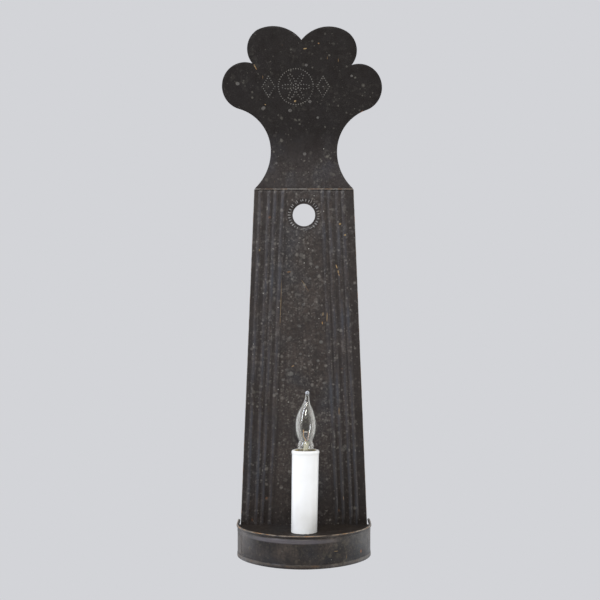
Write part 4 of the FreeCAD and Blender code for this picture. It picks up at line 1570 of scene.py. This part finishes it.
    def bottom(self) -> Piece:
        """Builds the bottom, turned up round the foot of the band in a folded seam.

        Returns:
            The piece.
        """
        shell = Shell()
        base = self.bottom_z - SHEET
        inner = self.radius + self.seam_gap
        outer = inner + self.seam_thickness
        top = base + self.seam_height
        soft = self.seam_round
        collar = [(inner, base + SHEET), (outer - 1.2, base)]
        collar += [
            polar(soft, a, outer - soft, base + soft) for a in spread(-RIGHT_ANGLE, 0, math.pi / 8)
        ]
        collar += [
            (outer, top - 2.2, 0.05), (outer - 0.1, top - 1.2, 0.2), (inner + 0.08, top - 0.2, 0.05),
            (inner, top),
        ]
        shell.skin(self.swept(shell, collar))
        reach = outer - 0.9
        under, over = (
            [
                shell.add(nx * reach, y + ny * reach, z + self.hang(nx, ny, z))
                for nx, ny, y in self.stations()
            ]
            for z in (base, base + SHEET)
        )
        shell.skin([over, under])
        return settle(shell.make("tray_bottom_pan", TRAY_TIN), 50)

    def rim_wire(self) -> Piece:
        """Builds the steel wire that the rim is rolled round.

        Returns:
            The piece.
        """
        shell = Shell()
        circle = [
            polar(self.wire_radius, a, self.middle_radius, self.roll_z) for a in around(12)
        ]
        shell.skin(self.swept(shell, circle))
        return settle(shell.make("tray_rim_wire", RIM_WIRE), 60)

    def lap_seam(self) -> Piece:
        """Builds the band's lap joint, whose edge shows as a faint upright line on the left.

        Returns:
            The piece.
        """
        shell = Shell()
        low = self.bottom_z + self.seam_height + 0.3
        high = self.bead_z - self.bead_width / 2 - 0.2
        sunk, proud = self.radius - 0.05, self.radius + 0.12
        strip = [(sunk, low), (proud, low, 0.02), (proud, high, 0.02), (sunk, high)]
        shell.skin(self.swept(shell, strip, part=self.lap_stretch))
        return settle(shell.make("tray_band_lap", TRAY_TIN), 50)

    def build(self) -> None:
        """Builds the tray and places its pieces."""
        place(self.band(), Body.SCONCE, Slot.TIN, "tray_band")
        place(self.rim_wire(), Body.SCONCE, Slot.STEEL_WIRE, "rim_wire")
        place(self.bottom(), Body.SCONCE, Slot.TIN, "tray_bottom")
        place(self.lap_seam(), Body.SCONCE, Slot.TIN)


@dataclass
class CandleCover:
    """The candle sleeve, tapered, with a thick rounded lip, a little out of plumb."""

    base_z: float
    top_z: float
    axis: Pair
    top_radius: float = 11.3
    bottom_radius: float = 10.9
    wall: float = 1.0
    foot_chamfer: float = 0.35
    lip_radius: float = 11.7
    lip_height: float = 3.0
    lip_round: float = 1.4
    opening_radius: float = 9.0
    inner_round: float = 0.8
    tinted_to: float = 30.0
    lean: float = math.radians(0.95)
    stretch: float = 0.9

    @classmethod
    def from_frame(cls) -> "CandleCover":
        """Takes the sleeve's heights and axis from the frame.

        Returns:
            The sleeve.
        """
        low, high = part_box("candle_cover")
        middle = (low + high) / 2
        return cls(low.z / MM, high.z / MM, (middle.x / MM, middle.y / MM))

    def shift(self, z: float) -> float:
        """Gives how far the sleeve's axis is off plumb at a height."""
        return math.tan(self.lean) * (z - (self.base_z * 0.35 + self.top_z * 0.65))

    def sleeve(self) -> Piece:
        """Builds the sleeve, up its outside, over its lip and down its bore.

        Returns:
            The piece.
        """
        top = self.top_z + self.stretch
        under = top - self.lip_height
        bore = self.bottom_radius - self.wall
        chamfer = self.foot_chamfer
        profile = [
            (self.bottom_radius - chamfer, self.base_z), (self.bottom_radius, self.base_z + chamfer),
        ]
        for z in spread(self.base_z + 2 * chamfer, under - 0.9, 6):
            share = (z - self.base_z) / (under - self.base_z)
            profile.append((self.bottom_radius + (self.top_radius - self.bottom_radius) * share, z))
        profile += [
            (self.top_radius + 0.03, under - 0.5), (self.top_radius + 0.16, under),
            (self.lip_radius, under + 0.5),
        ]
        for a in spread(0, RIGHT_ANGLE, math.pi / 14):
            centre = (self.lip_radius - self.lip_round, top - self.lip_round)
            profile.append(polar(self.lip_round, a, *centre))
        # the inner lip and the top of the bore are browned: partly heat, partly painted shade with the
        # brass cap's reflection
        for a in spread(RIGHT_ANGLE, math.pi, math.pi / 10):
            centre = (self.opening_radius + self.inner_round, top - self.inner_round)
            profile.append((*polar(self.inner_round, a, *centre), smooth(1.9, 2.8, a)))
        profile += [
            (self.opening_radius, under, 1.0), (bore, under - 0.3, 0.6),
            (bore, self.base_z + self.tinted_to, 0.1), (bore, self.base_z),
        ]
        shell = Shell()
        rings = shell.turned(profile[::-1], *self.axis, 96, self.shift)
        shell.skin(rings + rings[:1], False)
        return settle(shell.make("candle_sleeve", CANDLE), 60)

    def build(self) -> None:
        """Builds the sleeve and places it."""
        place(self.sleeve(), Body.COVER, Slot.CANDLE, "candle_cover")


@dataclass
class Lamp:
    """The small clear lamp with a flame tip: glass, stem, supports, filament and screw cap."""

    cap_top_z: float
    cap_bottom_z: float
    axis: Pair
    glass_radius: float = 8.75
    belly_height: float = 22.6
    belly_arc: float = 30.0
    foot_radius: float = 6.95
    foot_height: float = 5.1
    foot_arc: float = 8.8
    waist_blend: float = 0.7
    stalk_radius: float = 1.5
    flank_arc: float = 24.0
    glass_height: float = 51.5
    glass_wall: float = 0.25
    neck_radius: float = 5.3
    neck_depth: float = 4.5
    tip_radius: float = 1.75
    tip_bend: float = 1.4
    aside: float = 0.6
    stem_aside: float = 1.25
    cap_radius: float = 5.85
    thread_pitch: float = 2.54
    thread_height: float = 0.42
    stem_radius: float = 2.1
    stem_height: float = 6.4
    press_height: float = 2.8
    support_spacing: float = 1.6
    support_reach: Pair = (1.7, 0.8)
    support_height: float = 7.4
    support_radius: float = 0.34
    left_support_rise: float = 2.2
    filament_arch: float = 0.7
    filament_radius: float = 0.11
    coil_radius: float = 0.42
    coil_turns: int = 18

    @classmethod
    def from_frame(cls) -> "Lamp":
        """Takes the cap's heights and axis from the frame.

        Returns:
            The lamp.
        """
        low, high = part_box("bulb_cap")
        middle = (low + high) / 2
        return cls(high.z / MM, low.z / MM, (middle.x / MM, middle.y / MM))

    @property
    def press_top_z(self) -> float:
        """The height of the top of the stem's press."""
        return self.cap_top_z + self.stem_height + self.press_height

    def profile(self, inset: float) -> list[Pair]:
        """Samples the glass's profile from the neck to the foot of the stalk.

        Args:
            inset: how far the profile is drawn in.

        Returns:
            Radius and height of each point, above the cap.
        """
        foot_x, foot_r = self.foot_radius - self.foot_arc, self.foot_arc - inset
        belly_x, belly_r = self.glass_radius - self.belly_arc, self.belly_arc - inset
        flank_x, flank_r = self.stalk_radius + self.flank_arc, self.flank_arc + inset
        reach = self.belly_arc + self.flank_arc
        rise = math.sqrt(reach ** 2 - (flank_x - belly_x) ** 2)
        flank_z = self.belly_height + rise
        touch_z = self.belly_height + rise * self.belly_arc / reach
        neck = self.neck_radius - inset
        points = [(neck, -self.neck_depth), (neck, -1.0)]
        for z in spread(0.2, flank_z, 0.55):
            if z < touch_z:
                foot = foot_x + math.sqrt(max(0.0, foot_r ** 2 - (z - self.foot_height) ** 2))
                belly = belly_x + math.sqrt(belly_r ** 2 - (z - self.belly_height) ** 2)
                blend = self.waist_blend
                radius = math.log(math.exp(foot / blend) + math.exp(belly / blend)) * blend
                radius -= 0.62 * blend * math.exp(-((foot - belly) / blend) ** 2 / 4)
            else:
                radius = flank_x - math.sqrt(flank_r ** 2 - (z - flank_z) ** 2)
            points.append((radius, z))
        return points

    def bend(self, z: float) -> float:
        """Gives how far the glass stands to the right, its drawn tip furthest.

        Args:
            z: the height.

        Returns:
            The distance from the cap's axis.
        """
        low = self.aside * smooth(self.cap_top_z - self.neck_depth, self.cap_top_z + 3, z)
        start = self.cap_top_z + self.belly_height + 6
        return low + self.tip_bend * smooth(start, self.cap_top_z + self.glass_height, z)

    def glass(self) -> Piece:
        """Builds the blown glass, hollow up to its drawn tip.

        Returns:
            The piece.
        """
        inner = self.profile(self.glass_wall)
        last_r, last_z = inner[-1]
        inner += [(last_r * 0.75, last_z + 0.7), (last_r * 0.3, last_z + 1.2)]
        shell = Shell()
        outside, inside = (
            shell.turned([(r, self.cap_top_z + z) for r, z in points], *self.axis, 72, self.bend)
            for points in (self.profile(0.0), inner)
        )
        shell.skin(inside[::-1] + outside)
        return settle(shell.make("lamp_glass", GLASS), 60)

    def tip(self) -> Piece:
        """Builds the ball that the tip was sealed with, thick and so paler than the wall.

        Returns:
            The piece.
        """
        ball_z = self.cap_top_z + self.glass_height - self.tip_radius
        neck_r, neck_z = self.profile(0.0)[-1]
        drop = [(neck_r * 0.97, self.cap_top_z + neck_z - 0.5)]
        drop += [
            polar(self.tip_radius, a, 0.0, ball_z) for a in spread(-0.9, RIGHT_ANGLE - 0.12, 0.2)
        ]
        shell = Shell()
        shell.skin(shell.turned(drop, *self.axis, 40, self.bend))
        return settle(shell.make("lamp_glass_tip", TIP_GLASS), 60)

    def stem(self) -> Piece:
        """Builds the glass stem: flared foot, tube, and the press that grips the lead-in wires.

        Returns:
            The piece.
        """
        low = self.cap_top_z - self.neck_depth + 0.1
        press = self.cap_top_z + self.stem_height
        top = self.press_top_z
        levels = [(low, self.neck_radius - 0.6, 1.0), (low + 0.7, 3.4, 1.0), (low + 2.2, 2.2, 1.0)]
        levels += [(z, self.stem_radius, 1.0) for z in spread(low + 3.5, press - 2.2, 1.5)]
        levels += [
            (z, self.stem_radius * wide, flat)
            for z, wide, flat in (
                (press - 1.2, 1.02, 0.75), (press - 0.3, 1.08, 0.5), (press + 0.6, 1.12, 0.42),
                (top - 0.4, 1.08, 0.4), (top, 0.86, 0.3),
            )
        ]
        shell = Shell()
        rings = []
        for z, radius, flat in levels:
            middle = self.axis[0] + self.stem_aside * (z - low) / (top - low)
            circle = [polar(radius, a) for a in around(32)]
            rings.append([shell.add(middle + x, self.axis[1] + flat * y, z) for x, y in circle])
        shell.skin(rings)
        return settle(shell.make("lamp_stem", STEM_GLASS), 60)

    def wire(self, name: str, points: list[Triple], radius: float, finish: Finish) -> Piece:
        """Makes a round wire along points.

        Args:
            name: the piece's name.
            points: the wire's points in millimetres.
            radius: its radius in millimetres.
            finish: its finish.

        Returns:
            The wire as a mesh.
        """
        curve = bpy.data.curves.new(name, "CURVE")
        curve.dimensions = "3D"
        curve.bevel_depth = radius * MM
        curve.bevel_resolution = 3
        curve.use_fill_caps = True
        spline = curve.splines.new("POLY")
        spline.points.add(len(points) - 1)
        for target, point in zip(spline.points, points):
            target.co = (*(c * MM for c in point), 1)
        drawn = bpy.data.objects.new(name + "_path", curve)
        bpy.context.scene.collection.objects.link(drawn)
        depsgraph = bpy.context.evaluated_depsgraph_get()
        mesh = bpy.data.meshes.new_from_object(drawn.evaluated_get(depsgraph))
        bpy.data.objects.remove(drawn)
        mesh.name = name
        mesh.materials.clear()
        mesh.materials.append(finish.material())
        wire = bpy.data.objects.new(name, mesh)
        bpy.context.scene.collection.objects.link(wire)
        return settle(wire, 60)

    def mount(self) -> list[Piece]:
        """Builds the two support wires and the coiled filament between them.

        Returns:
            The left wire, the right wire and the filament.
        """
        x, y = self.axis[0] + self.stem_aside, self.axis[1]
        foot = self.press_top_z - 1.6
        top = self.press_top_z + self.support_height
        pieces = []
        ends = []
        for side, name, reach, rise, finish in (
            (-1, "lamp_support_left", self.support_reach[0], self.left_support_rise, AMBER_WIRE),
            (1, "lamp_support_right", self.support_reach[1], 0.0, COPPER),
        ):
            near = x + side * self.support_spacing / 2
            far = near + side * reach
            path = [
                (near, y, foot), (near, y, foot + 2.2), (near + side * 0.15, y, foot + 3.0),
                (far - side * 0.3, y, foot + 5.0), (far, y, foot + 6.0), (far, y, top + rise),
            ]
            pieces.append(self.wire(name, path, self.support_radius, finish))
            ends.append(far)
        coil = []
        for share in spread(0, 1, 1 / (self.coil_turns * 10)):
            dy, dz = polar(self.coil_radius, FULL_TURN * self.coil_turns * share)
            arch = self.filament_arch * math.sin(math.pi * share)
            coil.append((ends[0] + (ends[1] - ends[0]) * share, y + dy, top + arch + dz))
        pieces.append(self.wire("lamp_filament", coil, self.filament_radius, TUNGSTEN))
        return pieces

    def cap(self) -> Piece:
        """Builds the brass screw cap with its rolled thread.

        Returns:
            The piece.
        """
        shell = Shell()
        steps = 64
        rings = []
        for z in spread(self.cap_bottom_z, self.cap_top_z, 0.3):
            run = smooth(self.cap_bottom_z, self.cap_bottom_z + 1.4, z)
            run *= 1 - smooth(self.cap_top_z - 3.6, self.cap_top_z - 2.4, z)
            ring = []
            for a in around(steps):
                wave = 0.5 + 0.5 * math.cos(FULL_TURN * z / self.thread_pitch - a)
                r = self.cap_radius - self.thread_height * run * (1 - wave)
                ring.append(shell.add(*polar(r, a, *self.axis), z))
            rings.append(ring)
        bore = self.cap_radius - self.thread_height - 0.08
        rings += shell.turned([(bore, self.cap_top_z), (bore, self.cap_bottom_z)], *self.axis, steps)
        shell.skin(rings + rings[:1], False)
        return settle(shell.make("lamp_screw_cap", BRASS), 50)

    def build(self) -> None:
        """Builds the lamp and places its pieces."""
        place(self.glass(), Body.LAMP, Slot.GLASS, "bulb_glass")
        place(self.tip(), Body.LAMP, Slot.GLASS)
        place(self.stem(), Body.LAMP, Slot.GLASS, "bulb_stem")
        left, right, filament = self.mount()
        place(left, Body.LAMP, Slot.COPPER, "support_wires")
        place(right, Body.LAMP, Slot.COPPER, "support_wires")
        place(filament, Body.LAMP, Slot.TUNGSTEN, "filament")
        place(self.cap(), Body.LAMP, Slot.BRASS, "bulb_cap")


@dataclass
class Marks:
    """The few marks that stand out on the sheets: rust blisters, a scratch and old drips.

    Each mark is its place across, its height, its length, its width and its heading in degrees.
    """

    plate: BackPlate
    crest: Crest
    tray: Tray
    rust_height: float = 0.1
    drip_height: float = 0.06
    plate_rust: tuple[tuple[float, ...], ...] = (
        (28.4, -44.9, 4.4, 0.9, -70), (29.8, -49.2, 3.2, 1.2, -80), (30.5, -51.8, 2.4, 0.7, -65),
        (30.5, -170.5, 7.0, 0.8, 90), (16.6, -86.1, 3.4, 1.0, 85), (16.0, -93.9, 3.2, 1.0, 95),
        (20.1, -88.9, 9.0, 0.6, 88), (1.0, -61.3, 12.5, 0.4, -58), (31.4, -7.8, 2.4, 2.0, 20),
        (35.8, -17.4, 2.0, 1.6, 60), (-13.0, -49.5, 3.6, 0.8, 5), (-20.0, -76.0, 44.0, 0.35, 88),
        (-9.5, -131.3, 3.0, 1.0, 30), (-38.5, -30.5, 1.3, 1.2, 0),
    )
    crest_rust: tuple[tuple[float, ...], ...] = (
        (0.9, 141.6, 3.6, 1.0, 10), (-7.7, 97.8, 2.2, 1.6, 40), (-41.8, 126.3, 6.0, 0.9, -60),
        (12.5, 146.0, 1.6, 1.2, 0), (-33.5, 95.0, 1.5, 1.0, 0),
    )
    tray_rust: tuple[tuple[float, ...], ...] = ((26.0, -278.0, 3.6, 0.45, 0),)
    plate_drips: tuple[tuple[float, ...], ...] = (
        (-0.3, -77.9, 3.4, 2.8, 30), (-4.0, -96.5, 4.2, 2.6, -25), (14.9, -110.4, 4.0, 3.4, 0),
        (-3.1, -120.8, 2.9, 2.2, 0), (-11.5, -138.2, 5.4, 4.2, 15), (-14.7, -134.5, 4.0, 2.4, 0),
        (17.7, -146.1, 3.2, 2.8, 0), (11.4, -45.2, 3.4, 3.0, 0), (5.3, -55.3, 2.4, 2.2, 0),
        (12.3, -126.7, 3.0, 2.8, 0), (-12.1, -106.6, 3.2, 2.8, 40), (-23.9, -155.4, 3.4, 2.4, 0),
        (34.9, -202.7, 7.0, 4.4, 60), (-18.2, -143.5, 3.0, 2.2, 0), (21.0, -95.0, 2.2, 2.0, 0),
    )
    crest_drips: tuple[tuple[float, ...], ...] = (
        (0.6, 53.0, 3.4, 3.2, 0), (-24.0, 45.0, 2.4, 2.2, 0), (5.2, 97.5, 3.2, 2.8, 0),
        (-57.0, 112.5, 3.4, 3.0, 0), (-35.0, 92.0, 4.2, 3.0, 20), (-12.0, 90.0, 3.6, 3.0, 0),
        (12.0, 84.0, 2.4, 2.2, 0), (41.0, 119.0, 2.4, 2.2, 0), (2.0, 128.0, 3.0, 2.6, 0),
    )

    def raised(self, name: str, finish: Finish, height: float, *groups: tuple) -> Piece:
        """Builds all marks of one kind.

        Args:
            name: the piece's name.
            finish: its finish.
            height: how far each mark stands out.
            groups: each sheet and the marks on it.

        Returns:
            The piece.
        """
        shell = Shell()
        for sheet, marks in groups:
            for x, z, length, width, degrees in marks:
                shell.mound(x, z, length, width, height, math.radians(degrees), sheet.front)
        return settle(shell.make(name, finish), 60)

    def build(self) -> None:
        """Builds the marks and places them."""
        rust = self.raised(
            "rust_blisters", RUST, self.rust_height, (self.plate, self.plate_rust),
            (self.crest, self.crest_rust), (self.tray, self.tray_rust),
        )
        drips = self.raised(
            "dried_drips", DRIP, self.drip_height, (self.plate, self.plate_drips),
            (self.crest, self.crest_drips),
        )
        place(rust, Body.SCONCE, Slot.TIN)
        place(drips, Body.SCONCE, Slot.TIN)


@dataclass
class Studio:
    """Plain pale surroundings, soft light from the upper left, and the camera."""

    backdrop: str = "d3d4d8"
    camera_at: Triple = (-3.4, -1087.5, -68.9)
    lens_shift: float = -0.0096
    lens: float = 75.0
    sensor: float = 36.0
    even_light: float = 0.35
    dim_front: float = 0.35
    floor_drop: float = 330.0
    floor_reach: float = 900.0
    aim: Triple = (0.0, 0.0, -0.1)

    def world(self) -> None:
        """Lights the object evenly, and shows the backdrop's colour behind it and in its gloss.

        In the gloss the side of the room that the camera stands in is dimmer than the backdrop.
        """
        world = bpy.data.worlds.new("studio_surroundings")
        bpy.context.scene.world = world
        world.use_nodes = True
        tree = world.node_tree
        tree.nodes.clear()
        rays = add_node(tree, "ShaderNodeLightPath", {}).node.outputs
        seen = rays["Is Camera Ray"]
        for name in ("Is Glossy Ray", "Is Transmission Ray"):
            seen = add_node(tree, "ShaderNodeMath", {0: seen, 1: rays[name]}, LARGER)
        light = add_node(
            tree, "ShaderNodeBackground", {"Color": srgb("dfe2e8"), "Strength": self.even_light}
        )
        towards = add_node(tree, "ShaderNodeTexCoord", {}, out="Generated")
        depth = add_node(tree, "ShaderNodeSeparateXYZ", {0: towards}, out=1)
        dim = add_node(tree, "ShaderNodeMapRange", {0: depth, 1: -1, 2: -0.3, 3: self.dim_front, 4: 1})
        shown = add_node(tree, "ShaderNodeMath", {0: dim, 1: rays["Is Camera Ray"]}, LARGER)
        backdrop = add_node(
            tree, "ShaderNodeBackground", {"Color": srgb(self.backdrop), "Strength": shown}
        )
        mixed = add_node(tree, "ShaderNodeMixShader", {0: seen, 1: light, 2: backdrop})
        add_node(tree, "ShaderNodeOutputWorld", {"Surface": mixed})

    def lamp(self, name: str, at: Triple, size: Pair, watts: float, colour: str,
             through: bool = True) -> None:
        """Hangs a soft rectangular lamp.

        Args:
            name: its name.
            at: its place in metres.
            size: its width and height in metres.
            watts: its power.
            colour: its colour.
            through: whether it shows through the glass.
        """
        light = bpy.data.lights.new(name, "AREA")
        light.shape = "RECTANGLE"
        light.size, light.size_y = size
        light.energy = watts
        light.color = srgb(colour)[:3]
        lamp = bpy.data.objects.new(name, light)
        lamp.visible_camera = False
        lamp.visible_transmission = through
        lamp.location = at
        towards = Vector(self.aim) - Vector(at)
        lamp.rotation_euler = towards.to_track_quat("-Z", "Y").to_euler()
        bpy.context.scene.collection.objects.link(lamp)

    def floor(self) -> None:
        """Lays a plain pale floor well below the sconce, with a softly rounded edge."""
        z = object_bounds()[0].z / MM - self.floor_drop
        reach = self.floor_reach
        profile = [(reach, z - 12), (reach + 6, z - 4)] + [(reach * s, z) for s in (1.0, 0.6, 0.2)]
        shell = Shell()
        shell.skin(shell.turned(profile, 0, 0, 96))
        floor = shell.make("studio_floor", Moulded("matt_pale_floor", "d3d4d8", "d0d1d5", 0.7))
        settle(floor)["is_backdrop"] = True

    def camera(self) -> None:
        """Puts the camera level, at the photograph's place."""
        lens = bpy.data.cameras.new("photo_camera")
        lens.lens = self.lens
        lens.sensor_width = self.sensor
        lens.shift_y = self.lens_shift
        camera = bpy.data.objects.new("photo_camera", lens)
        camera.location = [c * MM for c in self.camera_at]
        camera.rotation_euler = (RIGHT_ANGLE, 0, 0)
        bpy.context.scene.collection.objects.link(camera)
        bpy.context.scene.camera = camera

    def build(self) -> None:
        """Sets up the surroundings, the lamps, the floor and the camera."""
        bpy.context.scene.view_settings.view_transform = "Standard"
        self.camera()
        self.world()
        self.lamp("key_from_left", (-1.15, -1.1, 0.75), (0.4, 1.5), 17.5, "e8efff")
        self.lamp("front_above_camera", (-0.1, -2.12, 1.5), (0.9, 0.85), 41, "fffdfa")
        self.lamp("front_below_camera", (0.0, -1.8, -1.2), (0.9, 0.4), 4, "fdfcff")
        self.lamp("strip_from_right", (1.15, -1.0, -0.5), (0.15, 0.8), 4, "f4f7ff")
        self.lamp("panel_at_left", (-1.6, 0.35, -0.15), (1.9, 1.6), 14, "f6f8ff", False)
        self.lamp("panel_at_right", (1.6, 0.35, -0.15), (1.9, 1.6), 12, "ffffff", False)
        self.floor()


def dress_nodes() -> None:
    """Gives every CAD node that stays its finish."""
    for node, finish in NODE_FINISHES.items():
        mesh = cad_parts[node].data
        mesh.materials.clear()
        mesh.materials.append(finish.material())
        log.info("%s keeps its shape and takes %s", node, finish.name)


def main() -> None:
    """Dresses the sconce piece by piece."""
    logging.basicConfig(level=logging.INFO, format="%(message)s")
    Studio().build()
    plate = BackPlate.from_frame()
    plate.build()
    crest = Crest(foot_z=plate.top_z)
    crest.build()
    tray = Tray.from_frame()
    tray.build()
    Marks(plate, crest, tray).build()
    CandleCover.from_frame().build()
    Lamp.from_frame().build()
    dress_nodes()


if __name__ == "__main__":
    main()
